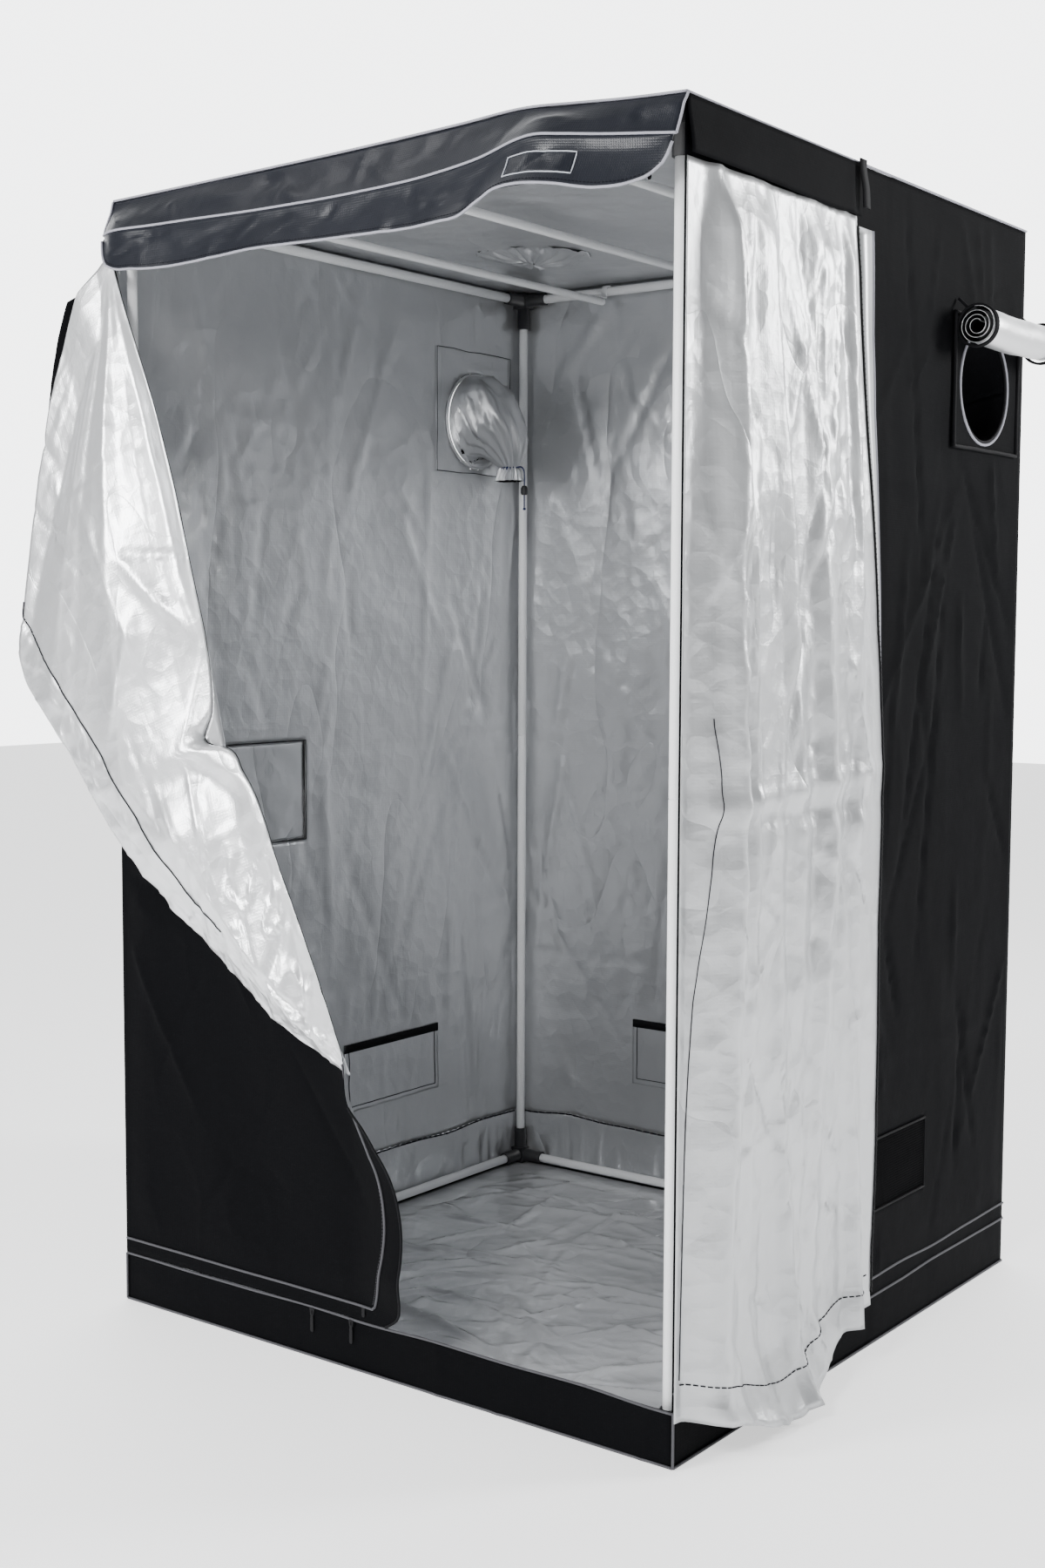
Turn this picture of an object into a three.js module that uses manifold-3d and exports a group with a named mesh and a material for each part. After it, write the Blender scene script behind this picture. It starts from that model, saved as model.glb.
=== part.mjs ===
// A 1.2 m square, 2 m tall fabric enclosure tent on a tube frame. Millimetres, +Z up.
// The origin is the centre of the ground sheet's underside; -Y is the front, where the two doors are.
import * as THREE from 'three';
import { mergeVertices } from 'three/addons/utils/BufferGeometryUtils.js';
import Module from 'manifold-3d';

const wasm = await Module();
wasm.setup();

// Driving dimensions
const HALF = 600;               // half of the tent's width and of its depth
const HEIGHT = 2000;
const SKIN = 2;                 // thickness of every fabric panel
const GAP = 0.3;                // clearance between panels that touch
const INSET = 21;               // from the outside of the skin to the centre of a tube
const TUBE_R = 9.5;
const TUBE_WALL = 1;
const SPIGOT_R = 8.2;           // reduced top end of each lower post
const SPIGOT_LENGTH = 40;
const SPLICE_Z = 1000;          // height where lower and upper posts meet
const SOCKET_R = 14;
const SOCKET_REACH = 62;        // from a connector's centre to the mouth of its sockets
const SOCKET_DEPTH = 40;
const CONNECTOR_BLOCK = 34;
const SIDES = 12;               // sides of every round section of the frame
const BAR_R = 8;                // roof crossbars
const BAR_DROP = 24;            // from the top beams' centre line down to the crossbars'
const BAR_SPACING = 350;
const HOOK_CLEARANCE = 0.7;
const HOOK_THICKNESS = 3;
const HOOK_WIDTH = 14;
const SILL_TOP = 88;
const DOOR_BOTTOM = 90;
const DOOR_TOP = 1820;          // door panels end below the header flap's lower edge
const APEX_Z = 1905;            // corner of the left door where its two folds meet
const STORM_FLAP = 60;          // strip of the left door that laps over the right door
const FOLD_END_Z = 290;         // height where the long fold meets the left door's free edge
const CORNER_ANGLE = 26;        // of the folded-back top corner, seen from the apex, in degrees
const FLAP_OPEN = 172;          // how far the left door's flap is folded, in degrees
const CORNER_OPEN = 176;        // how far its top corner is folded behind it, in degrees
const FOLD_GAP = 4;             // from a panel's edge to its fold line
const FOLD_OFFSET = 1.4;        // from the left door's front face to its fold lines
const HEADER_WIDTH = 78;
const HEADER_TILT = 28;         // how far the header leans out, in degrees
const PORT_R = 100;
const VENT_WIDTH = 285;
const VENT_HEIGHT = 128;
const VENT_BOTTOM = 237;
const COVER_LAP = 10;           // how far a vent cover laps over the wall around its vent

const INNER = HALF - SKIN;      // inside face of the walls
const CENTRE = HALF - INSET;    // centre line of the frame's tubes
const LOW_Z = INSET;
const HIGH_Z = HEIGHT - INSET;

const group = new THREE.Group();

function fabric(color) {
  return new THREE.MeshStandardMaterial({ color, roughness: 0.85, metalness: 0 });
}

const black = fabric(0x1c1d20);
const header = fabric(0x34373e);
const silver = new THREE.MeshStandardMaterial({ color: 0xa9abac, roughness: 0.35, metalness: 0.6 });
const meshCloth = fabric(0x8d9092);
const white = new THREE.MeshStandardMaterial({ color: 0xeceded, roughness: 0.35, metalness: 0.2 });
const plastic = new THREE.MeshStandardMaterial({ color: 0x121315, roughness: 0.5, metalness: 0 });
const clear = new THREE.MeshStandardMaterial({ color: 0x9aa3a6, roughness: 0.1, metalness: 0 });
const metal = new THREE.MeshStandardMaterial({ color: 0x2a2b2d, roughness: 0.4, metalness: 0.8 });
const cordBlue = fabric(0x20264a);

function add(name, geometry, material, parent = group) {
  const mesh = new THREE.Mesh(geometry, material);
  mesh.name = name;
  parent.add(mesh);
  return mesh;
}

// Booleans
function solid(geometry) {
  const bare = geometry.clone();
  bare.deleteAttribute('normal');
  bare.deleteAttribute('uv');
  const merged = mergeVertices(bare, 1e-4);
  const vertProperties = Float32Array.from(merged.attributes.position.array);
  const triVerts = Uint32Array.from(merged.index.array);
  return new wasm.Manifold(new wasm.Mesh({ numProp: 3, vertProperties, triVerts }));
}

function geometryOf(manifold) {
  const mesh = manifold.getMesh();
  const geometry = new THREE.BufferGeometry();
  geometry.setAttribute('position', new THREE.BufferAttribute(mesh.vertProperties, 3));
  geometry.setIndex(new THREE.BufferAttribute(mesh.triVerts, 1));
  geometry.computeVertexNormals();
  return geometry;
}

function joined(...geometries) {
  return geometryOf(geometries.map(solid).reduce((whole, next) => whole.add(next)));
}

// Outlines. A flat panel is an outline extruded by a thickness and turned into its plane.
const AXIS_X = new THREE.Vector3(1, 0, 0);
const AXIS_Y = new THREE.Vector3(0, 1, 0);
const AXIS_Z = new THREE.Vector3(0, 0, 1);
const XZ_PLANE = new THREE.Matrix4().makeBasis(AXIS_X, AXIS_Z, AXIS_Y.clone().negate());
const YZ_PLANE = new THREE.Matrix4().makeBasis(AXIS_Y, AXIS_Z, AXIS_X);

function outline(points) {
  return new THREE.Shape(points.map(([u, v]) => new THREE.Vector2(u, v)));
}

function rectangle(u0, u1, v0, v1) {
  return outline([[u0, v0], [u1, v0], [u1, v1], [u0, v1]]);
}

function circle(u, v, radius) {
  return new THREE.Path().absarc(u, v, radius, 0, 2 * Math.PI);
}

function extruded(shape, depth, curveSegments = 16) {
  return new THREE.ExtrudeGeometry(shape, { depth, bevelEnabled: false, curveSegments });
}

// A panel in a plane of constant y: the outline is in x and z, and its back face is at y.
function frontPanel(shape, y, depth = SKIN) {
  return extruded(shape, depth).applyMatrix4(XZ_PLANE).translate(0, y, 0);
}

// A panel in a plane of constant x: the outline is in y and z, from x towards +X.
function sidePanel(shape, x, depth = SKIN) {
  return extruded(shape, depth).applyMatrix4(YZ_PLANE).translate(x, 0, 0);
}

function flatPanel(shape, z, depth = SKIN) {
  return extruded(shape, depth).translate(0, 0, z);
}

// Frame
function tubeGeometry(length, radius = TUBE_R) {
  const inner = radius - TUBE_WALL;
  const profile = [[inner, 0], [radius, 0], [radius, length], [inner, length], [inner, 0]];
  const lathe = new THREE.LatheGeometry(profile.map(([r, y]) => new THREE.Vector2(r, y)), SIDES);
  return lathe.rotateX(Math.PI / 2);
}

function lowerPostGeometry(length) {
  const inner = TUBE_R - TUBE_WALL;
  const neck = SPIGOT_R - TUBE_WALL;
  const top = length + SPIGOT_LENGTH;
  const profile = [
    [inner, 0], [TUBE_R, 0], [TUBE_R, length - 1], [SPIGOT_R, length], [SPIGOT_R, top],
    [neck, top], [neck, length - 1], [inner, length - 4], [inner, 0],
  ];
  const lathe = new THREE.LatheGeometry(profile.map(([r, y]) => new THREE.Vector2(r, y)), SIDES);
  return lathe.rotateX(Math.PI / 2);
}

const TUBE_START = SOCKET_REACH - SOCKET_DEPTH + GAP;   // from a connector's centre to a tube's end

// A solid round rod from a point along a unit direction.
function rod(start, direction, length, radius) {
  const cylinder = new THREE.CylinderGeometry(radius, radius, length, SIDES);
  cylinder.translate(0, length / 2, 0);
  const turn = new THREE.Quaternion().setFromUnitVectors(AXIS_Y, direction);
  return cylinder.applyQuaternion(turn).translate(start.x, start.y, start.z);
}

// A three-way corner connector: a block with a bored socket along each direction.
function connectorGeometry(directions) {
  const block = new THREE.BoxGeometry(CONNECTOR_BLOCK, CONNECTOR_BLOCK, CONNECTOR_BLOCK);
  const origin = new THREE.Vector3();
  let whole = solid(block);
  for (const direction of directions) {
    whole = whole.add(solid(rod(origin, direction, SOCKET_REACH, SOCKET_R)));
  }
  for (const direction of directions) {
    const mouth = direction.clone().multiplyScalar(SOCKET_REACH - SOCKET_DEPTH);
    whole = whole.subtract(solid(rod(mouth, direction, SOCKET_DEPTH + 1, TUBE_R + GAP)));
  }
  return geometryOf(whole);
}

const corners = [
  ['front_left', -1, -1], ['front_right', 1, -1], ['back_left', -1, 1], ['back_right', 1, 1],
];

for (const [corner, sx, sy] of corners) {
  for (const [level, z, sz] of [['bottom', LOW_Z, -1], ['top', HIGH_Z, 1]]) {
    const directions = [
      new THREE.Vector3(-sx, 0, 0), new THREE.Vector3(0, -sy, 0), new THREE.Vector3(0, 0, -sz),
    ];
    const connector = add(`connector_${level}_${corner}`, connectorGeometry(directions), plastic);
    connector.position.set(sx * CENTRE, sy * CENTRE, z);
  }
  const lower = add(`post_lower_${corner}`, lowerPostGeometry(SPLICE_Z - LOW_Z - TUBE_START), white);
  lower.position.set(sx * CENTRE, sy * CENTRE, LOW_Z + TUBE_START);
  const upperStart = SPLICE_Z + GAP;
  const upperLength = HIGH_Z - TUBE_START - upperStart;
  const upper = add(`post_upper_${corner}`, tubeGeometry(upperLength), white);
  upper.position.set(sx * CENTRE, sy * CENTRE, upperStart);
}

const beamLength = 2 * (CENTRE - TUBE_START);
const beamStart = -beamLength / 2;
for (const [level, z] of [['bottom', LOW_Z], ['top', HIGH_Z]]) {
  for (const [side, s] of [['front', -1], ['back', 1]]) {
    const beam = add(`beam_${level}_${side}`, tubeGeometry(beamLength), white);
    beam.rotation.y = Math.PI / 2;
    beam.position.set(beamStart, s * CENTRE, z);
  }
  for (const [side, s] of [['left', -1], ['right', 1]]) {
    const beam = add(`beam_${level}_${side}`, tubeGeometry(beamLength), white);
    beam.rotation.x = -Math.PI / 2;
    beam.position.set(s * CENTRE, beamStart, z);
  }
}

// A crossbar runs front to back under the top beams, and hangs on them by a strip hook at each end.
const BAR_Z = HIGH_Z - BAR_DROP;
const HOOK_INNER = TUBE_R + HOOK_CLEARANCE;
const HOOK_OUTER = HOOK_INNER + HOOK_THICKNESS;
const HOOK_WRAP = -Math.PI / 9;         // the hook's tip, below the beam's outer side
const BAR_END = CENTRE - HOOK_OUTER - 4;

function hookGeometry() {
  const low = BAR_Z + BAR_R - 0.6;
  const high = low + HOOK_THICKNESS;
  const strip = new THREE.Shape();
  strip.moveTo(BAR_END - 35, low);
  strip.lineTo(CENTRE - HOOK_INNER, low);
  strip.lineTo(CENTRE - HOOK_INNER, HIGH_Z);
  strip.absarc(CENTRE, HIGH_Z, HOOK_INNER, Math.PI, HOOK_WRAP, true);
  strip.absarc(CENTRE, HIGH_Z, HOOK_OUTER, HOOK_WRAP, Math.PI, false);
  strip.lineTo(CENTRE - HOOK_OUTER, high);
  strip.lineTo(BAR_END - 35, high);
  return sidePanel(strip, -HOOK_WIDTH / 2, HOOK_WIDTH);
}

function crossbarGeometry() {
  const tube = tubeGeometry(2 * BAR_END, BAR_R).rotateX(-Math.PI / 2).translate(0, -BAR_END, BAR_Z);
  const back = hookGeometry();
  const front = hookGeometry().rotateZ(Math.PI);
  return joined(tube, back, front);
}

for (const [side, s] of [['left', -1], ['middle', 0], ['right', 1]]) {
  const bar = add(`roof_crossbar_${side}`, crossbarGeometry(), white);
  bar.position.x = s * BAR_SPACING;
}

// Skin: floor, walls and roof
const INSIDE = INNER - GAP;             // edge of a panel that stands between two walls
const LEFT_VENT = [2, 2 + VENT_WIDTH];
const RIGHT_VENT = [-47, -47 + VENT_WIDTH];
const BACK_VENT = [-268, -268 + VENT_WIDTH];
const LEFT_PORT = [430, 1700];
const RIGHT_PORT = [420, 1690];
const ROOF_PORT = [-260, 190];
const WINDOW = [-420, -120, 820, 1020];

function ventHole([start, end]) {
  return rectangle(start, end, VENT_BOTTOM, VENT_BOTTOM + VENT_HEIGHT);
}

function wallOutline(edge, bottom, holes) {
  const shape = rectangle(-edge, edge, bottom, HEIGHT - SKIN - GAP);
  shape.holes.push(...holes);
  return shape;
}

add('ground_sheet', flatPanel(rectangle(-INSIDE, INSIDE, -HALF, INSIDE), 0), black);
add('floor_liner', flatPanel(rectangle(-555, 555, -555, 555), SKIN + GAP), silver);

const leftHoles = [ventHole(LEFT_VENT), circle(...LEFT_PORT, PORT_R), rectangle(...WINDOW)];
const rightHoles = [ventHole(RIGHT_VENT), circle(...RIGHT_PORT, PORT_R)];
add('left_wall', sidePanel(wallOutline(HALF, 0, leftHoles), -HALF), black);
add('right_wall', sidePanel(wallOutline(HALF, 0, rightHoles), INNER), black);
add('back_wall', frontPanel(wallOutline(INSIDE, 0, [ventHole(BACK_VENT)]), HALF), black);

const roof = rectangle(-HALF, HALF, -HALF, HALF);
roof.holes.push(circle(...ROOF_PORT, PORT_R));
add('roof_panel', flatPanel(roof, HEIGHT - SKIN), black);

add('front_sill', frontPanel(rectangle(-INSIDE, INSIDE, SKIN + GAP, SILL_TOP), -INNER), black);

// Header: a band that leans out from the roof's front edge, with the header flap hanging from its seam
const tilt = THREE.MathUtils.degToRad(HEADER_TILT);
const headerTop = { y: -HALF - GAP, z: HEIGHT - SKIN - 1 };
const seam = {
  y: headerTop.y - HEADER_WIDTH * Math.sin(tilt),
  z: headerTop.z - HEADER_WIDTH * Math.cos(tilt),
};
const outward = { y: -SKIN * Math.cos(tilt), z: SKIN * Math.sin(tilt) };
const band = outline([
  [headerTop.y, headerTop.z],
  [headerTop.y + outward.y, headerTop.z + outward.z],
  [seam.y + outward.y, seam.z + outward.z],
  [seam.y, seam.z],
]);
add('front_header', sidePanel(band, -INSIDE, 2 * INSIDE), header);

const FLAP_TOP = seam.z - 4;
const FLAP_LOW = 1862;
const FLAP_STEP = 1886;                 // the lower edge rises to here, right of the middle

function headerFlapOutline() {
  const shape = new THREE.Shape();
  shape.moveTo(-590, FLAP_TOP);
  shape.quadraticCurveTo(-575, FLAP_LOW + 2, -500, FLAP_LOW + 2);
  shape.lineTo(210, FLAP_LOW);
  shape.quadraticCurveTo(260, FLAP_LOW, 300, FLAP_STEP);
  shape.quadraticCurveTo(350, FLAP_STEP + 6, 420, FLAP_STEP - 2);
  shape.quadraticCurveTo(490, FLAP_LOW + 6, 545, FLAP_LOW + 14);
  shape.quadraticCurveTo(580, FLAP_LOW + 26, 590, FLAP_TOP);
  return shape;
}

const FLAP_BACK = seam.y + 0.6;
add('header_flap', extruded(headerFlapOutline(), SKIN, 6).applyMatrix4(XZ_PLANE)
  .translate(0, FLAP_BACK, 0), header);
const TAPE_BACK = FLAP_BACK + 3;
add('header_zip_tape', frontPanel(rectangle(-570, 570, seam.z - 27, seam.z - 5), TAPE_BACK, 1.5), black);

// Zip sliders, seen from the front: a body with a pull tab hanging below it
function sliderGeometry() {
  const tab = outline([
    [-3.5, -42], [3.5, -42], [3.5, -16], [6, -14], [6, 0], [-6, 0], [-6, -14], [-3.5, -16],
  ]);
  return frontPanel(tab, 0, 4);
}

const HEADER_SLIDER_Y = TAPE_BACK + 4 + GAP;
const SILL_SLIDER_Y = -HALF - GAP;
const sliders = [
  ['header_zip_slider_left', -560, HEADER_SLIDER_Y, seam.z - 8],
  ['header_zip_slider_right', 560, HEADER_SLIDER_Y, seam.z - 8],
  ['sill_zip_slider_left', -130, SILL_SLIDER_Y, SILL_TOP - 1],
  ['sill_zip_slider_right', -40, SILL_SLIDER_Y, SILL_TOP - 1],
  ['centre_zip_slider', -10, -HALF - SKIN - 2 * GAP, DOOR_BOTTOM + 50],
];
for (const [name, x, y, z] of sliders) {
  add(name, sliderGeometry(), metal).position.set(x, y, z);
}

// Left door: a lower panel that is still zipped, and an upper flap folded out over it along a line
// from the apex to the free edge, with the flap's top corner folded behind along a second line.
const apex = new THREE.Vector3(-HALF, -HALF - GAP - SKIN - FOLD_OFFSET, APEX_Z);
const FREE_EDGE = STORM_FLAP;
const reach = FREE_EDGE - apex.x;
const foldAngle = Math.atan2(reach, apex.z - FOLD_END_Z);      // from straight down
const cornerAngle = THREE.MathUtils.degToRad(CORNER_ANGLE);    // down from level
const foldAxis = new THREE.Vector3(Math.sin(foldAngle), 0, -Math.cos(foldAngle));
const cornerAxis = new THREE.Vector3(Math.cos(cornerAngle), 0, -Math.sin(cornerAngle));
const doorFace = -HALF - GAP - apex.y;                         // back face, seen from the apex
const top = DOOR_TOP - apex.z;

// Points relative to the apex. A fold line is entered by its x or z, shifted sideways by a gap.
function onFold(z, shift) {
  return [-z * Math.tan(foldAngle) + shift / Math.cos(foldAngle), z];
}

function onCorner(x, shift) {
  return [x, -x * Math.tan(cornerAngle) + shift / Math.cos(cornerAngle)];
}

const foldEnd = FOLD_END_Z - apex.z;
const lowerPoints = [
  [GAP, DOOR_BOTTOM - apex.z],
  [reach, DOOR_BOTTOM - apex.z],
  [reach, foldEnd - FOLD_GAP / Math.sin(foldAngle)],
  onFold(top, -FOLD_GAP),
  [GAP, top],
];
const cornerX = -(top - FOLD_GAP) / Math.tan(cornerAngle);
const CUT_ALONG_FOLD = 160;             // the flap's tip is cut off, clear of the right door's path
const CUT_ALONG_EDGE = 90;
const flapPoints = [
  onFold(top, FOLD_GAP),
  onFold(foldEnd + CUT_ALONG_FOLD * Math.cos(foldAngle), FOLD_GAP),
  [reach, foldEnd + CUT_ALONG_EDGE],
  onCorner(reach, -FOLD_GAP),
  [cornerX, top],
];
const cornerPoints = [
  [-(top - FOLD_GAP / Math.cos(cornerAngle)) / Math.tan(cornerAngle), top],
  onCorner(reach, FOLD_GAP),
  [reach, top],
];

const flapGroup = new THREE.Group();
flapGroup.position.copy(apex);
flapGroup.quaternion.setFromAxisAngle(foldAxis, THREE.MathUtils.degToRad(FLAP_OPEN));
group.add(flapGroup);
const cornerGroup = new THREE.Group();
cornerGroup.quaternion.setFromAxisAngle(cornerAxis, THREE.MathUtils.degToRad(CORNER_OPEN));
flapGroup.add(cornerGroup);

add('left_door_lower', frontPanel(outline(lowerPoints), doorFace), black).position.copy(apex);
add('left_door_flap', frontPanel(outline(flapPoints), doorFace), silver, flapGroup);
add('left_door_corner', frontPanel(outline(cornerPoints), doorFace), silver, cornerGroup);

// Right door: swung right round its hinge line at the front right corner, flat against the wall
const RIGHT_DOOR_WIDTH = 600;
const RIGHT_HINGE_Y = -HALF - SKIN - 3 * GAP;                  // its hinge line is at x = HALF + SKIN
const rightDoor = rectangle(
  RIGHT_HINGE_Y + 1, RIGHT_HINGE_Y + RIGHT_DOOR_WIDTH, DOOR_BOTTOM, DOOR_TOP,
);
add('right_door', sidePanel(rightDoor, HALF + GAP), silver);
add('right_door_strap', sidePanel(rectangle(-95, -71, DOOR_TOP + 20, 1990), HALF + GAP), black);

// Vents: a mesh panel in the wall, and a cover inside it, sewn along the bottom
const COVER_LIFT = 3;                   // from a cover's fold line to its panel
const coverBottom = VENT_BOTTOM - COVER_LAP;

function ventMeshOutline([start, end]) {
  return rectangle(start + GAP, end - GAP, VENT_BOTTOM + GAP, VENT_BOTTOM + VENT_HEIGHT - GAP);
}

function coverOutline([start, end]) {
  const high = VENT_BOTTOM + VENT_HEIGHT + COVER_LAP;
  return rectangle(start - COVER_LAP, end + COVER_LAP, coverBottom + COVER_LIFT, high);
}

add('left_vent_mesh', sidePanel(ventMeshOutline(LEFT_VENT), -HALF), meshCloth);
add('left_vent_cover', sidePanel(coverOutline(LEFT_VENT), -INSIDE), silver);
add('right_vent_mesh', sidePanel(ventMeshOutline(RIGHT_VENT), INNER), meshCloth);
add('right_vent_cover', sidePanel(coverOutline(RIGHT_VENT), INSIDE - SKIN), silver);
add('back_vent_mesh', frontPanel(ventMeshOutline(BACK_VENT), HALF), meshCloth);
add('back_vent_cover', frontPanel(coverOutline(BACK_VENT), INSIDE), silver);

const [windowStart, windowEnd, windowLow, windowHigh] = WINDOW;
const pane = rectangle(windowStart + GAP, windowEnd - GAP, windowLow + GAP, windowHigh - GAP);
add('left_window_pane', sidePanel(pane, -HALF), clear);

// A closed skin through level elliptical sections, each [x, y, z, half depth, half width]
function loftGeometry(sections, sides = 16) {
  const positions = [];
  const indices = [];
  for (const [x, y, z, depth, width] of sections) {
    for (let i = 0; i < sides; i += 1) {
      const angle = 2 * Math.PI * i / sides;
      positions.push(x + depth * Math.cos(angle), y + width * Math.sin(angle), z);
    }
  }
  for (let ring = 0; ring + 1 < sections.length; ring += 1) {
    for (let i = 0; i < sides; i += 1) {
      const next = (i + 1) % sides;
      const [a, b] = [ring * sides + i, ring * sides + next];
      indices.push(a, a + sides, b, b, a + sides, b + sides);
    }
  }
  const last = (sections.length - 1) * sides;
  for (let i = 1; i + 1 < sides; i += 1) {
    indices.push(0, i, i + 1);
    indices.push(last, last + i + 1, last + i);
  }
  const geometry = new THREE.BufferGeometry();
  geometry.setAttribute('position', new THREE.Float32BufferAttribute(positions, 3));
  geometry.setIndex(indices);
  geometry.computeVertexNormals();
  return geometry;
}

// The left port's sleeve hangs inside as a pouch, gathered to a neck by its drawstring.
const POUCH_BACK = -590;

function pouchSection(z, depth, width, y = LEFT_PORT[0], back = POUCH_BACK) {
  return [back + depth / 2, y, z, depth / 2, width / 2];
}

const pouch = [
  pouchSection(1797, 8, 60), pouchSection(1780, 30, 124), pouchSection(1740, 55, 180),
  pouchSection(1700, 70, 192), pouchSection(1660, 78, 170), pouchSection(1630, 66, 110, 455),
  pouchSection(1608, 40, 46, 482, -574), pouchSection(1600, 34, 34, 490, -567),
  pouchSection(1588, 42, 42, 490, -571), pouchSection(1570, 60, 60, 495, -580),
];
add('left_port_sleeve', loftGeometry(pouch), silver);

const CORD_R = 1.5;
const cordPath = new THREE.CatmullRomCurve3([
  [-532, 1600], [-524, 1602], [-515, 1601], [-509.5, 1594], [-508, 1582], [-508, 1560],
  [-508, 1535], [-508, 1510],
].map(([x, z]) => new THREE.Vector3(x, 490, z)));
const cordSection = new THREE.Shape().absarc(0, 0, CORD_R, 0, 2 * Math.PI);
add('left_port_drawstring', new THREE.ExtrudeGeometry(cordSection, {
  steps: 24, curveSegments: 4, bevelEnabled: false, extrudePath: cordPath,
}), cordBlue);

const LOCK_HEIGHT = 20;
const lockProfile = [[2, 0], [6, 0], [8, 4], [8, 14], [5, LOCK_HEIGHT], [2, LOCK_HEIGHT], [2, 0]];
const lock = new THREE.LatheGeometry(lockProfile.map(([r, y]) => new THREE.Vector2(r, y)), 12);
add('left_port_cord_lock', lock.rotateX(Math.PI / 2), plastic).position.set(-508, 490, 1540);

// The right port's collar on the outside, with its cover rolled up above it
const collar = new THREE.Shape().absarc(...RIGHT_PORT, PORT_R + 8, 0, 2 * Math.PI);
collar.holes.push(circle(...RIGHT_PORT, PORT_R));
add('right_port_collar', sidePanel(collar, HALF + GAP, 3), black);
const ROLL_R = 36;
const roll = new THREE.CylinderGeometry(ROLL_R, ROLL_R, 310, 20);
add('right_port_cover_roll', roll, silver).position.set(HALF + ROLL_R + 5, 445, 1785);

// The roof port's sleeve, gathered flat against the roof
const bunch = new THREE.CylinderGeometry(PORT_R + 10, 60, 20, 20);
bunch.rotateX(Math.PI / 2);
add('roof_port_sleeve', bunch, silver).position.set(...ROOF_PORT, HEIGHT - SKIN - GAP - 10);

export default group;
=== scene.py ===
import math

import bmesh
import bpy
import numpy as np
from mathutils import Matrix, Vector


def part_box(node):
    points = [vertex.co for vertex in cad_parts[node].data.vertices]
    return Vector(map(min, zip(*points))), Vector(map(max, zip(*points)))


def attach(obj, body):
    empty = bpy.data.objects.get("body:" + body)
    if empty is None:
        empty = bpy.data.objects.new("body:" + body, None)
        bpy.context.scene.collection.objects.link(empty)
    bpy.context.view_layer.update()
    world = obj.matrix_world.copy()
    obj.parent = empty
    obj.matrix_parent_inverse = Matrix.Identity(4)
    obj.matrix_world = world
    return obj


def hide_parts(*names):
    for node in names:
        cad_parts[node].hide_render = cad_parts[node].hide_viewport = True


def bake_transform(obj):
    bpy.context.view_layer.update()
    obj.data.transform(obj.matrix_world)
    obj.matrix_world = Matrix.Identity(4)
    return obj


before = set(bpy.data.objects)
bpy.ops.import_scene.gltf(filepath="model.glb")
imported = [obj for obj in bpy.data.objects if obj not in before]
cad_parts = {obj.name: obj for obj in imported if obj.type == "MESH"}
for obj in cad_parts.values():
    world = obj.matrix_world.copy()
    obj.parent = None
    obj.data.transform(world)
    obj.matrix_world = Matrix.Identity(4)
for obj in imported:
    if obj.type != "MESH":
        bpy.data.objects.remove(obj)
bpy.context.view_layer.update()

# Driving dimensions, in metres, in the frame's own axes: +X right, +Y back, +Z up
HALF = 0.6                      # outside of the skin
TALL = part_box("roof_panel")[1].z
CLOTH = 0.0012                  # thickness of the woven panels
TUBE_R = 0.0095
SILL_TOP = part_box("front_sill")[1].z
PIPING_R = 0.0022
APEX = Vector((-HALF, -0.6037, 1.905))      # corner of the left door where its folds meet
STORM_FLAP = 0.06
FOLD_END_Z = 0.29
CORNER_ANGLE = math.radians(26)
DOOR_LOW = SILL_TOP + 0.003
DOOR_PIPING = 0.118
FRONT, RIGHT, UP = (0, -1, 0), (1, 0, 0), (0, 0, 1)
VENT_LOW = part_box("left_vent_mesh")[0].z
VENT_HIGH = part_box("left_vent_mesh")[1].z


# ---------------------------------------------------------------- smooth seeded noise
def noise(u, v, seed):
    """Value noise from -1 to 1, one lattice cell per unit."""
    size = 64
    grid = np.random.default_rng(seed).uniform(-1, 1, (size, size))
    i, j = np.floor(u).astype(int), np.floor(v).astype(int)
    a, b = u - i, v - j
    a, b = a * a * (3 - 2 * a), b * b * (3 - 2 * b)
    near = grid[i % size, j % size] * (1 - a) + grid[(i + 1) % size, j % size] * a
    far = grid[i % size, (j + 1) % size] * (1 - a) + grid[(i + 1) % size, (j + 1) % size] * a
    return near * (1 - b) + far * b


def ridges(u, v, seed):
    """Thin raised lines where the noise passes zero, from 0 to 1."""
    return np.clip(1 - 3.2 * np.abs(noise(u, v, seed)), 0, 1) ** 1.5


def step(x, low, high):
    t = np.clip((x - low) / (high - low), 0, 1)
    return t * t * (3 - 2 * t)


def curve(x, *knots):
    """A smooth line through (x, value) knots."""
    xs, ys = np.array([k[0] for k in knots], float), np.array([k[1] for k in knots], float)
    x = np.clip(np.asarray(x, float), xs[0], xs[-1])
    slopes = np.gradient(ys, xs)
    i = np.clip(np.searchsorted(xs, x) - 1, 0, len(xs) - 2)
    h = xs[i + 1] - xs[i]
    t = (x - xs[i]) / h
    return (
        (1 + 2 * t) * (1 - t) ** 2 * ys[i] + t * (1 - t) ** 2 * h * slopes[i]
        + t * t * (3 - 2 * t) * ys[i + 1] + t * t * (t - 1) * h * slopes[i + 1]
    )


def curve_path(t, *knots):
    """Points along a smooth path through evenly spaced knots, for t from 0 to 1."""
    stops = np.linspace(0, 1, len(knots))
    return np.stack([curve(t, *zip(stops, [k[axis] for k in knots])) for axis in range(3)], axis=-1)


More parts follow.
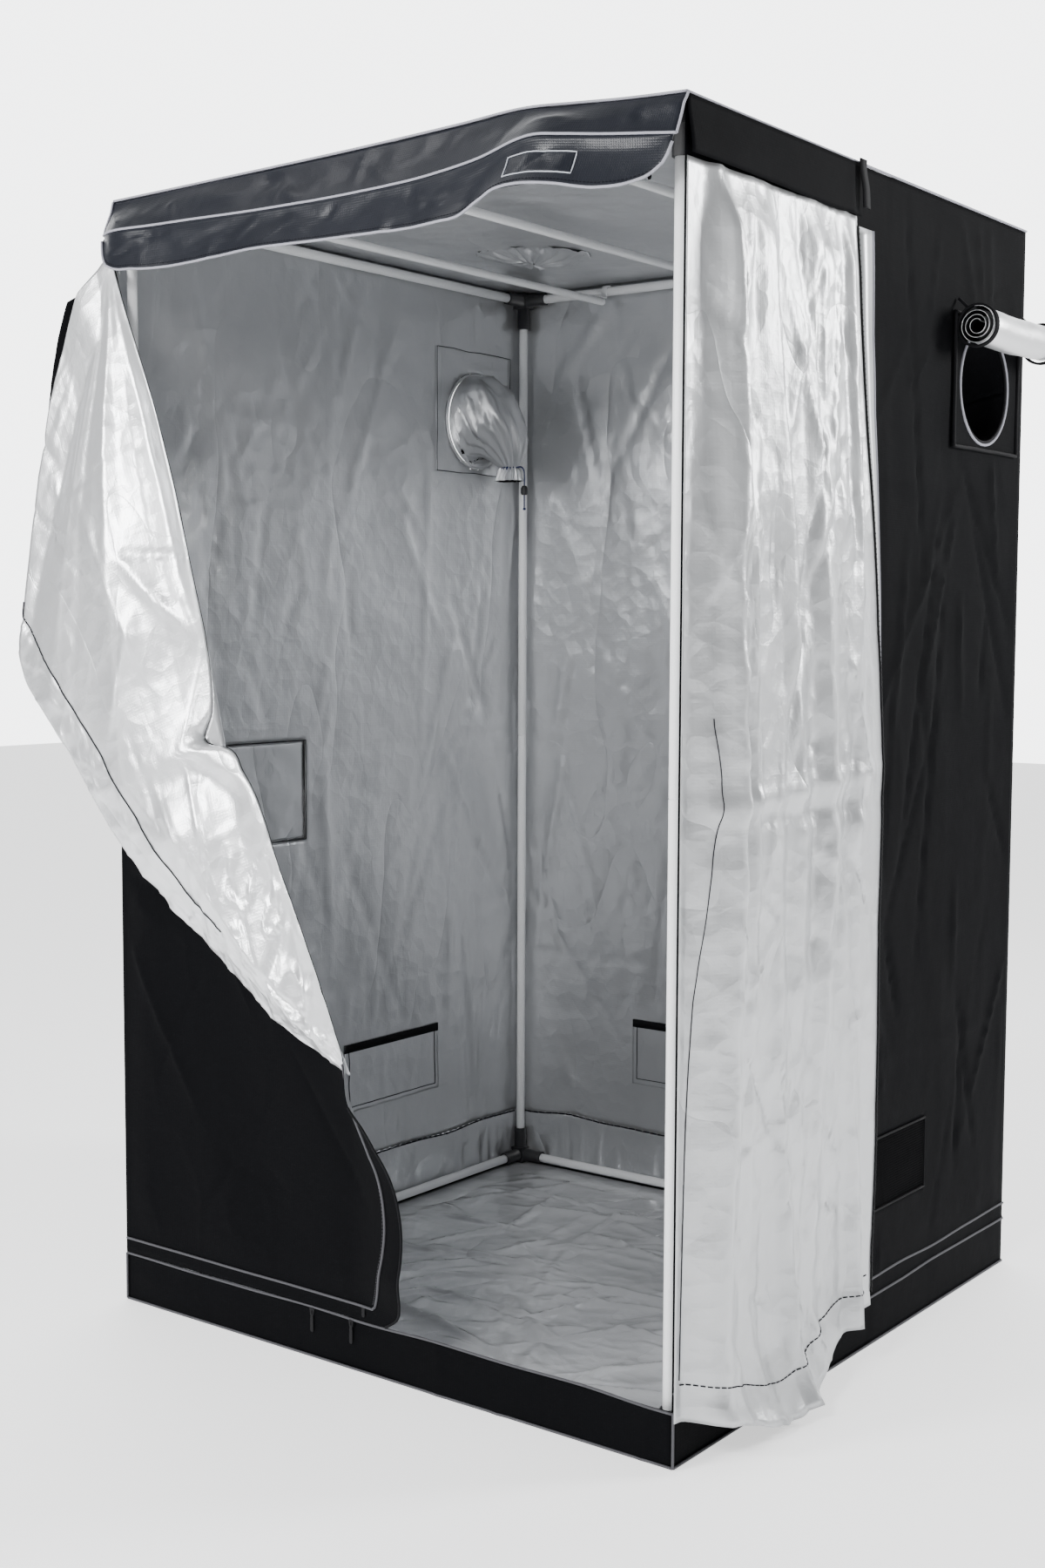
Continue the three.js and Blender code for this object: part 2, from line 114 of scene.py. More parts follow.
def crease(u, v, start, end, width, depth):
    """A sharp fold from start to end that fades at both ends."""
    a, b = np.array(start, float), np.array(end, float)
    along = (b - a) / np.linalg.norm(b - a)
    s = (u - a[0]) * along[0] + (v - a[1]) * along[1]
    away = np.abs((u - a[0]) * -along[1] + (v - a[1]) * along[0])
    length = np.linalg.norm(b - a)
    fade = np.clip(np.minimum(s, length - s) / (0.3 * length), 0, 1)
    return depth * fade * np.exp(-away / width)


def scattered_creases(u, v, seed, count, lean, lengths, width, depth):
    """Many creases at random places, leaning within `lean` radians of upright."""
    rng = np.random.default_rng(seed)
    total = np.zeros_like(u)
    for _ in range(count):
        middle = np.array([rng.uniform(u.min(), u.max()), rng.uniform(v.min(), v.max())])
        angle = rng.normal(0, lean)
        half = rng.uniform(*lengths) / 2
        way = np.array([math.sin(angle), math.cos(angle)]) * half
        deep = depth * rng.uniform(0.4, 1) * rng.choice([-1, 1])
        total += crease(u, v, middle - way, middle + way, width * rng.uniform(0.6, 1.4), deep)
    return total


# ---------------------------------------------------------------- materials
class Shader:
    """A Principled material and a short way to add nodes to it."""

    def __init__(self, name, color, roughness, metallic=0.0):
        self.material = bpy.data.materials.new(name)
        self.material.use_nodes = True
        self.tree = self.material.node_tree
        self.main = self.tree.nodes["Principled BSDF"]
        self.main.inputs["Base Color"].default_value = (*color, 1)
        self.main.inputs["Roughness"].default_value = roughness
        self.main.inputs["Metallic"].default_value = metallic

    def node(self, kind, settings=None, **inputs):
        made = self.tree.nodes.new("ShaderNode" + kind)
        for key, value in (settings or {}).items():
            setattr(made, key, value)
        for key, value in inputs.items():
            self.put(made.inputs[key.replace("_", " ")], value)
        return made

    def put(self, socket, value):
        if isinstance(value, bpy.types.NodeSocket):
            self.tree.links.new(value, socket)
        else:
            socket.default_value = value

    def math(self, operation, a, b=0.0):
        made = self.node("Math", {"operation": operation})
        self.put(made.inputs[0], a)
        self.put(made.inputs[1], b)
        return made.outputs[0]

    def cloth_coordinates(self):
        """The piece's own surface coordinates, in metres."""
        return self.node("UVMap", {"uv_map": "cloth"}).outputs["UV"]

    def object_coordinates(self):
        return self.node("TexCoord").outputs["Object"]

    def noise(self, where, scale, detail=3.0, roughness=0.55):
        return self.node("TexNoise", Vector=where, Scale=scale, Detail=detail, Roughness=roughness)

    def vary(self, factor, low, high):
        """A colour from low to high as factor goes from 0 to 1."""
        ramp = self.node("ValToRGB", Fac=factor)
        ramp.color_ramp.elements[0].color = (*low, 1)
        ramp.color_ramp.elements[1].color = (*high, 1)
        return ramp.outputs["Color"]

    def range(self, value, low, high):
        made = self.node("MapRange", Value=value)
        made.inputs["To Min"].default_value = low
        made.inputs["To Max"].default_value = high
        return made.outputs["Result"]

    def bump(self, height, strength, distance):
        made = self.node("Bump", Height=height, Strength=strength, Distance=distance)
        if self.main.inputs["Normal"].links:
            below = self.main.inputs["Normal"].links[0].from_socket
            self.put(made.inputs["Normal"], below)
        self.put(self.main.inputs["Normal"], made.outputs["Normal"])


def weave(shader, where, pitch, strength):
    """Over-and-under threads of that pitch."""
    waves = []
    for direction in ("X", "Y"):
        wave = shader.node(
            "TexWave", {"wave_type": "BANDS", "bands_direction": direction, "wave_profile": "SIN"},
            Vector=where, Scale=0.1 / pitch,
        )
        wave.inputs["Distortion"].default_value = 0.4
        wave.inputs["Detail"].default_value = 1.0
        waves.append(wave.outputs["Fac"])
    shader.bump(shader.math("MULTIPLY", waves[0], waves[1]), strength, 0.0004)


def woven_cloth(name, dark, light, roughness, specular):
    """Coated woven polyester: soft mottling, faint scuffs and a fine weave."""
    shader = Shader(name, dark, roughness)
    where = shader.cloth_coordinates()
    broad = shader.noise(where, 3.0, 5.0).outputs["Fac"]
    fine = shader.noise(where, 60.0, 4.0).outputs["Fac"]
    mixed = shader.math("ADD", shader.math("MULTIPLY", broad, 0.6), shader.math("MULTIPLY", fine, 0.4))
    shader.put(shader.main.inputs["Base Color"], shader.vary(mixed, dark, light))
    shader.put(shader.main.inputs["Roughness"], shader.range(broad, roughness - 0.08, roughness + 0.08))
    shader.main.inputs["Specular IOR Level"].default_value = specular
    shader.bump(shader.noise(where, 9.0, 6.0).outputs["Fac"], 0.25, 0.01)
    weave(shader, where, 0.0012, 0.35)
    return shader.material


def silver_film(name, color, roughness, crumple, metallic=0.75):
    """Reflective film on woven cloth: sharp crumples, faint threads and rubbed patches."""
    shader = Shader(name, color, roughness, metallic)
    where = shader.cloth_coordinates()
    for scale, stretch, strength, distance in ((2.6, 2.2, 0.5, 0.02), (11.0, 1.5, 0.16, 0.008),
                                               (46.0, 1.2, 0.16, 0.002)):
        tall = shader.node("Mapping", Vector=where)
        tall.inputs["Scale"].default_value = (1.0, 1 / stretch, 1.0)
        field = shader.noise(tall.outputs["Vector"], scale, 2.0).outputs["Fac"]
        fold = shader.math("ABSOLUTE", shader.math("SUBTRACT", field, 0.5))
        shader.bump(shader.math("POWER", fold, 0.6), strength * crumple, distance)
    for scale, strength, distance in ((7.0, 0.3, 0.014), (24.0, 0.28, 0.006)):
        shift = shader.node("VectorMath", {"operation": "SCALE"})
        shader.put(shift.inputs[0], shader.noise(where, scale * 0.6, 2.0).outputs["Color"])
        shift.inputs["Scale"].default_value = 0.9 / scale
        bent = shader.node("VectorMath", {"operation": "ADD"})
        shader.put(bent.inputs[0], where)
        shader.put(bent.inputs[1], shift.outputs[0])
        facets = shader.node("TexVoronoi", {"feature": "F1"}, Vector=bent.outputs[0], Scale=scale)
        shader.bump(facets.outputs["Distance"], strength * crumple, distance)
    rubbed = shader.noise(where, 2.4, 6.0, 0.6).outputs["Fac"]
    low = tuple(c * 0.86 for c in color)
    high = tuple(min(1.0, c * 1.1) for c in color)
    shader.put(shader.main.inputs["Base Color"], shader.vary(rubbed, low, high))
    shader.put(shader.main.inputs["Roughness"], shader.range(rubbed, roughness + 0.1, roughness - 0.08))
    weave(shader, where, 0.0016, 0.12)
    return shader.material


def plain_trim(name, color, roughness, scale, strength, metallic=0.0):
    """Piping, tape, plastic and painted metal: a colour with fine grain of its own."""
    shader = Shader(name, color, roughness, metallic)
    shader.main.inputs["Specular IOR Level"].default_value = 0.5 if roughness < 0.5 else 0.12
    where = shader.object_coordinates()
    grain = shader.noise(where, scale, 4.0).outputs["Fac"]
    low = tuple(c * 0.8 for c in color)
    high = tuple(min(1.0, c * 1.15) for c in color)
    shader.put(shader.main.inputs["Base Color"], shader.vary(grain, low, high))
    shader.put(shader.main.inputs["Roughness"], shader.range(grain, roughness - 0.06, roughness + 0.06))
    shader.bump(grain, strength, 0.0006)
    return shader.material


BLACK = woven_cloth("black_polyester", (0.0016, 0.0017, 0.0021), (0.0034, 0.0036, 0.0044), 0.7, 0.03)
# The header is the same black polyester as the walls. Its lighter, bluer base colour is painted sheen; its
# real gloss comes from the lower roughness.
HEADER_PAINTED_SHEEN = woven_cloth("header_polyester_painted_sheen", (0.0035, 0.0045, 0.008), (0.008, 0.0095, 0.015), 0.32, 0.32)
SILVER = silver_film("silver_film", (0.58, 0.59, 0.605), 0.3, 1.0)
# The right door's silver is the walls' silver film with a darker base colour: painted shade. Its higher
# roughness and stronger crumple are its own.
DOOR_SILVER_PAINTED_SHADE = silver_film("door_silver_film_painted_shade", (0.5, 0.51, 0.52), 0.4, 1.3)
FLOOR_SILVER = silver_film("floor_silver_film", (0.6, 0.61, 0.625), 0.16, 0.9, 0.45)
PIPING = plain_trim("grey_piping", (0.3, 0.3, 0.34), 0.6, 900.0, 0.6)
LOW_PIPING = plain_trim("dark_grey_piping", (0.075, 0.075, 0.082), 0.6, 900.0, 0.6)
TAPE = plain_trim("black_tape", (0.004, 0.004, 0.005), 0.7, 1400.0, 0.6)
THREAD = plain_trim("black_thread", (0.012, 0.012, 0.016), 0.8, 2500.0, 0.5)
NET = plain_trim("vent_net", (0.006, 0.006, 0.007), 0.7, 2000.0, 0.4)
TUBE = plain_trim("white_powder_coat", (0.82, 0.83, 0.84), 0.32, 700.0, 0.12)
PLASTIC = plain_trim("black_plastic", (0.01, 0.01, 0.012), 0.38, 350.0, 0.35)
METAL = plain_trim("dark_zip_metal", (0.007, 0.007, 0.008), 0.52, 800.0, 0.2)
CORD = plain_trim("blue_cord", (0.02, 0.03, 0.11), 0.6, 1500.0, 0.7)
FILM = plain_trim("window_film_outside", (0.03, 0.032, 0.035), 0.15, 30.0, 0.1)
PATCH = plain_trim("patch_print", (0.42, 0.44, 0.48), 0.5, 1200.0, 0.4)
TAPE_CLOTH = woven_cloth("zip_tape_cloth", (0.004, 0.004, 0.005), (0.008, 0.008, 0.01), 0.7, 0.2)
FILM_CLOTH = silver_film("window_film_cloth", (0.55, 0.56, 0.575), 0.24, 0.9)
# The flap's silver is the door's own silver film with a much lighter base colour: painted light, where the
# front light falls on the flap.
FLAP_SILVER_PAINTED_LIGHT = silver_film("flap_silver_film_painted_light", (0.72, 0.73, 0.745), 0.33, 0.9)
# The rolled cover's silver is the same film with a lighter base colour: painted light on the roll.
ROLL_SILVER_PAINTED_LIGHT = silver_film("roll_silver_film_painted_light", (0.7, 0.71, 0.72), 0.4, 0.6)


# ---------------------------------------------------------------- mesh helpers
def new_piece(name, points, faces, materials, indices=None, smooth=True):
    mesh = bpy.data.meshes.new(name)
    mesh.from_pydata([tuple(p) for p in points], [], faces)
    for material in materials:
        mesh.materials.append(material)
    if indices is not None:
        mesh.polygons.foreach_set("material_index", indices)
    mesh.polygons.foreach_set("use_smooth", [smooth] * len(mesh.polygons))
    mesh.update()
    piece = bpy.data.objects.new(name, mesh)
    bpy.context.scene.collection.objects.link(piece)
    return piece


def cloth(name, points, u, v, outer, inner, facing, keep=None, thickness=CLOTH):
    """A sheet through a grid of points, which lie at (u, v) in metres on the flat cloth.
    The outer material is on the side that faces that way, one direction or one for each point."""
    rows, cols = points.shape[:2]
    turned = (normals_of(points) * facing).sum() < 0
    faces = []
    for i in range(rows - 1):
        for j in range(cols - 1):
            if keep is None or keep[i, j]:
                a = i * cols + j
                face = (a, a + 1, a + cols + 1, a + cols)
                faces.append(face[::-1] if turned else face)
    piece = new_piece(name, points.reshape(-1, 3), faces, [outer, inner])
    layer = piece.data.uv_layers.new(name="cloth")
    flat = np.stack([(u + 0 * v).ravel(), (v + 0 * u).ravel()], axis=1)
    order = np.zeros(len(piece.data.loops), int)
    piece.data.loops.foreach_get("vertex_index", order)
    layer.data.foreach_set("uv", flat[order].ravel())
    if keep is not None:
        drop_loose(piece)
    solid = piece.modifiers.new("cloth_thickness", "SOLIDIFY")
    solid.thickness = thickness
    solid.offset = -1
    solid.material_offset = 1
    solid.material_offset_rim = 0
    return piece


def drop_loose(piece):
    work = bmesh.new()
    work.from_mesh(piece.data)
    loose = [v for v in work.verts if not v.link_faces]
    bmesh.ops.delete(work, geom=loose, context="VERTS")
    work.to_mesh(piece.data)
    work.free()


def tube_mesh(path, radius, sides=8, closed=False):
    """Points and faces of a round tube along a path. radius is one number, or one for each point."""
    path = np.asarray(path, float)
    count = len(path)
    ahead = np.roll(path, -1, 0) - np.roll(path, 1, 0)
    if not closed:
        ahead[0], ahead[-1] = path[1] - path[0], path[-1] - path[-2]
    ahead /= np.linalg.norm(ahead, axis=1)[:, None] + 1e-12
    side = np.cross(ahead[0], (0, 0, 1) if abs(ahead[0][2]) < 0.9 else (0, 1, 0))
    radii = np.broadcast_to(radius, (count,))
    points = []
    for i in range(count):
        side = side - ahead[i] * side.dot(ahead[i])
        side /= np.linalg.norm(side)
        other = np.cross(ahead[i], side)
        for k in range(sides):
            angle = 2 * math.pi * k / sides
            points.append(path[i] + radii[i] * (math.cos(angle) * side + math.sin(angle) * other))
    faces = []
    for i in range(count if closed else count - 1):
        low, high = i * sides, (i + 1) % count * sides
        for k in range(sides):
            n = (k + 1) % sides
            faces.append((low + k, low + n, high + n, high + k))
    if not closed:
        faces.append(tuple(range(sides))[::-1])
        faces.append(tuple((count - 1) * sides + k for k in range(sides)))
    return points, faces


def merged(parts):
    """Several (points, faces) as one."""
    points, faces = [], []
    for some_points, some_faces in parts:
        start = len(points)
        points += list(some_points)
        faces += [tuple(start + i for i in face) for face in some_faces]
    return points, faces


def tubes(name, paths, radius, material, sides=8, closed=False):
    points, faces = merged(tube_mesh(path, radius, sides, closed) for path in paths)
    return new_piece(name, points, faces, [material])


def strip_mesh(left, right, lift):
    """A closed flat strap between two edges, `lift` thick."""
    left, right = np.asarray(left, float), np.asarray(right, float)
    along = np.gradient(left, axis=0)
    up = np.cross(right - left, along)
    up *= lift / (np.linalg.norm(up, axis=1)[:, None] + 1e-12)
    count = len(left)
    points = np.concatenate([left, right, right + up, left + up])
    faces = []
    for i in range(count - 1):
        for low, high in ((0, 1), (1, 2), (2, 3), (3, 0)):
            a, b = low * count + i, high * count + i
            faces.append((a + 1, b + 1, b, a))
    faces.append((3 * count, 2 * count, count, 0))
    faces.append(tuple(k * count + count - 1 for k in range(4)))
    return list(points), faces


def dashes(path, pitch=0.006, share=0.62):
    """Short stretches of a path, for a row of stitches."""
    path = np.asarray(path, float)
    gone = np.concatenate([[0], np.cumsum(np.linalg.norm(np.diff(path, axis=0), axis=1))])
    starts = np.arange(pitch / 2, gone[-1] - pitch, pitch)
    ends = starts + pitch * share
    at = lambda s: np.stack([np.interp(s, gone, path[:, k]) for k in range(3)], axis=-1)
    return [np.array([a, b]) for a, b in zip(at(starts), at(ends))]


def normals_of(points):
    normal = np.cross(np.gradient(points, axis=1), np.gradient(points, axis=0))
    return normal / (np.linalg.norm(normal, axis=2)[:, :, None] + 1e-12)


def on_grid(points, us, vs, lift=0.0, facing=(0, -1, 0)):
    """Points on a cloth's grid at shares us across and vs up, lifted off the side that faces that way."""
    rows, cols = points.shape[:2]
    us, vs = np.broadcast_arrays(np.asarray(us, float), np.asarray(vs, float))
    x, y = np.clip(us, 0, 1) * (cols - 1), np.clip(vs, 0, 1) * (rows - 1)
    j, i = np.minimum(x.astype(int), cols - 2), np.minimum(y.astype(int), rows - 2)
    a, b = (x - j)[..., None], (y - i)[..., None]
    normals = normals_of(points)
    normals = normals * np.where((normals * facing).sum(axis=2) < 0, -1, 1)[..., None]
    raised = points + normals * lift
    return (
        (raised[i, j] * (1 - a) + raised[i, j + 1] * a) * (1 - b)
        + (raised[i + 1, j] * (1 - a) + raised[i + 1, j + 1] * a) * b
    )


def settle(piece, body, slot, *nodes):
    """Parents a piece to its body and hides the CAD nodes that it stands for. The slot is not used."""
    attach(piece, body)
    if nodes:
        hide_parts(*nodes)
    return piece


def finish_cloth(piece, body, slot, nodes):
    settle(piece, body, slot, *nodes)
    return piece


def lines(start, stop, pitch, *breaks):
    """Grid lines from start to stop about a pitch apart, with one exactly on each break."""
    stops = sorted({start, stop, *[b for b in breaks if start < b < stop]})
    found = [start]
    for a, b in zip(stops, stops[1:]):
        found += list(np.linspace(a, b, max(1, round((b - a) / pitch)) + 1)[1:])
    return np.array(found)


# ---------------------------------------------------------------- camera and studio
def make_camera():
    camera = bpy.data.objects.new("camera", bpy.data.cameras.new("camera"))
    bpy.context.scene.collection.objects.link(camera)
    camera.data.lens = 44.36
    camera.data.sensor_width = 36
    turn = Matrix.Rotation(math.radians(37.128), 4, "Z")
    tilt = Matrix.Rotation(math.radians(90 - 4.714), 4, "X")
    roll = Matrix.Rotation(math.radians(0.219), 4, "Z")
    camera.matrix_world = Matrix.Translation((2.0985, -2.9554, 1.2534)) @ turn @ tilt @ roll
    bpy.context.scene.camera = camera


def area_light(name, place, target, size, power):
    light = bpy.data.objects.new(name, bpy.data.lights.new(name, "AREA"))
    bpy.context.scene.collection.objects.link(light)
    light.data.shape = "RECTANGLE"
    light.data.size, light.data.size_y = size
    light.data.energy = power
    light.location = place
    light.rotation_euler = (Vector(target) - Vector(place)).to_track_quat("-Z", "Y").to_euler()


def make_studio():
    world = bpy.data.worlds.new("studio")
    bpy.context.scene.world = world
    world.use_nodes = True
    nodes, links = world.node_tree.nodes, world.node_tree.links
    background = nodes["Background"]
    background.inputs["Color"].default_value = (0.95, 0.96, 0.97, 1)
    # Bright behind the tent as the photographer sees it, dimmer round the rest of the room
    where = nodes.new("ShaderNodeTexCoord")
    toward = nodes.new("ShaderNodeVectorMath")
    toward.operation = "DOT_PRODUCT"
    toward.inputs[1].default_value = (-0.6, 0.8, 0.0)
    links.new(where.outputs["Generated"], toward.inputs[0])
    strength = nodes.new("ShaderNodeMapRange")
    strength.interpolation_type = "SMOOTHSTEP"
    strength.inputs["From Min"].default_value = 0.5
    strength.inputs["From Max"].default_value = 0.9
    strength.inputs["To Min"].default_value = 0.45
    strength.inputs["To Max"].default_value = 5.0
    links.new(toward.outputs["Value"], strength.inputs["Value"])
    links.new(strength.outputs["Result"], background.inputs["Strength"])
    area_light("key", (-1.7, -4.6, 2.7), (-0.2, -0.2, 1.0), (1.2, 1.4), 200)
    area_light("side", (3.4, 2.9, 2.8), (0.6, -0.3, 0.9), (1.0, 1.4), 215)
    area_light("opening", (0.9, -3.4, 2.5), (0.0, 0.5, 0.3), (0.6, 0.8), 75)
    area_light("top", (-1.3, -1.7, 4.0), (0.4, -0.65, 1.92), (0.8, 0.8), 12)

    shader = Shader("pale_floor", (0.88, 0.88, 0.885), 0.7)
    where = shader.object_coordinates()
    tone = shader.noise(where, 1.5, 4.0).outputs["Fac"]
    shader.put(shader.main.inputs["Base Color"], shader.vary(tone, (0.87, 0.87, 0.875), (0.9, 0.9, 0.905)))
    shader.bump(shader.noise(where, 120.0, 3.0).outputs["Fac"], 0.1, 0.001)
    shader.main.inputs["Emission Color"].default_value = (1, 1, 1, 1)
    shader.main.inputs["Emission Strength"].default_value = 1.0
    reach = 14
    corners = [(-reach, -reach, 0), (reach, -reach, 0), (reach, reach, 0), (-reach, reach, 0)]
    floor = new_piece("studio_floor", corners, [(0, 1, 2, 3)], [shader.material], smooth=False)


# ---------------------------------------------------------------- frame
def copied(node, name, material, bevel, body="shell"):
    """The CAD node's own shape with rounded edges."""
    piece = bpy.data.objects.new(name, bpy.data.objects[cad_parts[node].name].data.copy())
    bpy.context.scene.collection.objects.link(piece)
    work = bmesh.new()
    work.from_mesh(piece.data)
    bmesh.ops.remove_doubles(work, verts=work.verts, dist=1e-5)
    bmesh.ops.dissolve_limit(work, angle_limit=math.radians(1), verts=work.verts, edges=work.edges)
    if bevel:
        sharp = [e for e in work.edges if len(e.link_faces) == 2 and e.calc_face_angle() > 0.7]
        bmesh.ops.bevel(work, geom=sharp, offset=bevel, segments=2, affect="EDGES", clamp_overlap=True)
    work.to_mesh(piece.data)
    work.free()
    piece.data.materials.clear()
    piece.data.materials.append(material)
    piece.data.shade_smooth()
    piece.data.set_sharp_from_angle(angle=math.radians(40))
    return piece


def round_tube(node, name):
    """A smooth tube along the node's longest side."""
    low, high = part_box(node)
    middle, size = (low + high) / 2, high - low
    axis = max(range(3), key=lambda k: size[k])
    start, end = middle.copy(), middle.copy()
    start[axis], end[axis] = low[axis], high[axis]
    way = (end - start).normalized()
    stops = [(0, TUBE_R - 0.001), (0.001, TUBE_R), (size[axis] - 0.001, TUBE_R), (size[axis], TUBE_R - 0.001)]
    if "post_lower" in node:
        shoulder = 1.0 - low.z
        stops = stops[:2] + [(shoulder - 0.001, TUBE_R), (shoulder, 0.0081), (size[axis], 0.0081)]
    path = [start + way * s for s, _ in stops]
    points, faces = tube_mesh(path, [r for _, r in stops], 32)
    piece = new_piece(name, points, faces, [TUBE])
    piece.data.set_sharp_from_angle(angle=math.radians(50))
    return settle(piece, "shell", "tube_white", node)


def make_frame():
    for corner in ("front_left", "front_right", "back_left", "back_right"):
        round_tube(f"post_lower_{corner}", f"post_lower_tube_{corner}")
        round_tube(f"post_upper_{corner}", f"post_upper_tube_{corner}")
        for level in ("bottom", "top"):
            node = f"connector_{level}_{corner}"
            piece = copied(node, f"corner_joint_{level}_{corner}", PLASTIC, 0.0015)
            settle(piece, "shell", "connector_plastic", node)
    for level in ("bottom", "top"):
        for side in ("front", "back", "left", "right"):
            round_tube(f"beam_{level}_{side}", f"beam_tube_{level}_{side}")
    for side in ("left", "middle", "right"):
        node = f"roof_crossbar_{side}"
        piece = copied(node, f"crossbar_tube_{side}", TUBE, 0.0004)
        settle(piece, f"crossbar_{side}", "tube_white", node)


# ---------------------------------------------------------------- walls, roof and floor
PACKING_CREASES = (0.5, 1.0, 1.5)


def wrinkles(u, v, width, height, seed, sharp=70):
    """How far a hanging panel stands out of its plane. Its sewn edges stay in it."""
    edge = np.minimum(np.minimum(u, width - u), np.minimum(v, height - v))
    total = 4e-3 * noise(u * 3.1, v * 1.3, seed)
    total += 1.6e-3 * noise(u * 10 + v * 1.5, v * 1.5, seed + 1)
    total += scattered_creases(u, v, seed + 2, int(sharp * 1.2), 0.45, (0.15, 0.9), 0.006, 0.0065)
    total += 0.8e-3 * ridges(u * 9, v * 5, seed + 3) + 0.35e-3 * ridges(u * 23, v * 15, seed + 4)
    total *= 0.15 + 0.85 * step(v, SILL_TOP, SILL_TOP + 0.08)
    for k, at in enumerate(PACKING_CREASES):
        strength = 0.55 + 0.45 * noise(u * 7, v * 0 + k, seed + 5)
        total += 2.6e-3 * strength * np.exp(-np.abs(v - at + 0.006 * noise(u * 5, v * 0, seed + 6)) / 0.008)
    for share in (0.25, 0.5, 0.75):
        strength = 0.4 + 0.6 * noise(v * 4, u * 0 + share * 9, seed + 7)
        total += 1.6e-3 * strength * np.exp(-np.abs(u - share * width) / 0.007)
    return total * step(edge, 0, 0.05)


def open_round(u, v, keep, centre, radius):
    """Drops a grid's cells inside a circle. Gives each point's growth from the centre, out to the rim."""
    away = np.hypot(u - centre[0], v - centre[1])
    middles = (away[:-1, :-1] + away[1:, :-1] + away[:-1, 1:] + away[1:, 1:]) / 4
    keep &= middles > radius
    inside = away < radius
    return np.where(inside, radius / np.maximum(away, 1e-6), 1.0)


def wall(name, node, seed, place, holes, port, slot="skin_black", limit=None):
    """A wall from its share u across and height v, given a place function from (u, v, out) to points."""
    us = lines(0, 2 * HALF, 0.011, *[x for hole in holes for x in hole[:2]])
    vs = lines(0, TALL - 0.001, 0.0115, *[z for hole in holes for z in hole[2:]])
    u, v = np.meshgrid(us, vs)
    keep = np.ones((len(vs) - 1, len(us) - 1), bool)
    mu, mv = (us[1:] + us[:-1]) / 2, (vs[1:] + vs[:-1]) / 2
    for left, right, low, high in holes:
        keep &= ~np.outer((mv > low) & (mv < high), (mu > left) & (mu < right))
    if port:
        grow = open_round(u, v, keep, port[:2], port[2])
        u = port[0] + (u - port[0]) * grow
        v = port[1] + (v - port[1]) * grow
    out = wrinkles(u, v, 2 * HALF, TALL, seed)
    calm = np.ones_like(u)
    for left, right, low, high in holes:
        away = np.hypot(np.maximum(0, np.maximum(left - u, u - right)),
                        np.maximum(0, np.maximum(low - v, v - high)))
        calm *= step(away, 0.005, 0.07)
    if port:
        calm *= step(np.hypot(u - port[0], v - port[1]), port[2] + 0.01, port[2] + 0.09)
    out = np.clip(out * calm, -0.0065, 0.011)
    if limit is not None:
        out = limit(u, v, out)
    outward = place(u, v, out + 1) - place(u, v, out)
    piece = cloth(name, place(u, v, out), u, v, BLACK, SILVER, outward, keep)
    return finish_cloth(
        piece, "shell", slot, [node],
    )


def left_place(u, v, out):
    return np.stack([-HALF - out, HALF - u, v + 0 * u], axis=-1)


def right_place(u, v, out):
    return np.stack([HALF + out, u - HALF, v + 0 * u], axis=-1)


def back_place(u, v, out):
    return np.stack([HALF - 0.0012 - (u / (2 * HALF)) * (2 * HALF - 0.0024), HALF + out, v + 0 * u], axis=-1)


def vent_span(node):
    """(start, end) of a vent along its wall, in the frame's own axis."""
    low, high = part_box(node)
    return (low.x, high.x) if high.x - low.x > high.y - low.y else (low.y, high.y)


LEFT_PORT = (0.43, 1.7)
RIGHT_PORT = (0.42, 1.69)
ROOF_PORT = (-0.26, 0.19)
PORT_R = 0.1
WINDOW = (-0.42, -0.12, 0.82, 1.02)


def arch(x):
    """How far the roof's front edge stands above its plane."""
    return curve(x, (-0.62, 0), (-0.34, 0.004), (0.03, 0.011), (0.19, 0.016), (0.32, 0.021), (0.41, 0.014),
                 (0.48, 0.008), (0.62, 0))


def make_walls():
    vents = {side: vent_span(f"{side}_vent_mesh") for side in ("left", "right", "back")}
    a, b = vents["left"]
    left_holes = [(HALF - b, HALF - a, VENT_LOW, VENT_HIGH),
                  (HALF - WINDOW[1], HALF - WINDOW[0], WINDOW[2], WINDOW[3])]
    wall("left_wall_cloth", "left_wall", 100, left_place, left_holes,
         (HALF - LEFT_PORT[0], LEFT_PORT[1], PORT_R))
    a, b = vents["right"]

    def behind_door(u, v, out):
        return np.where(u < HALF + 0.03, np.minimum(out, 0.001) - 0.001, out)

    wall("right_wall_cloth", "right_wall", 200, right_place, [(HALF + a, HALF + b, VENT_LOW, VENT_HIGH)],
         (HALF + RIGHT_PORT[0], RIGHT_PORT[1], PORT_R), limit=behind_door)
    a, b = vents["back"]
    wall("back_wall_cloth", "back_wall", 300, back_place, [(HALF - b, HALF - a, VENT_LOW, VENT_HIGH)], None)


def roof_height(x, y, seed=400):
    u, v = x + HALF, y + HALF
    edge = np.minimum(np.minimum(u, 2 * HALF - u), np.minimum(v, 2 * HALF - v))
    sag = -0.012 * step(edge, 0.02, 0.35)
    wave = 4e-3 * noise(x * 5, y * 3, seed) + 2e-3 * noise(x * 14 + y * 6, y * 5, seed + 1)
    wave += scattered_creases(u, v, seed + 2, 70, 0.9, (0.1, 0.5), 0.008, 0.004)
    wave += 1.2e-3 * ridges(u * 8, v * 8, seed + 3)
    return TALL - 0.0008 + sag + wave * step(edge, 0.02, 0.1) + arch(x) * np.exp(-(y + HALF) / 0.1)


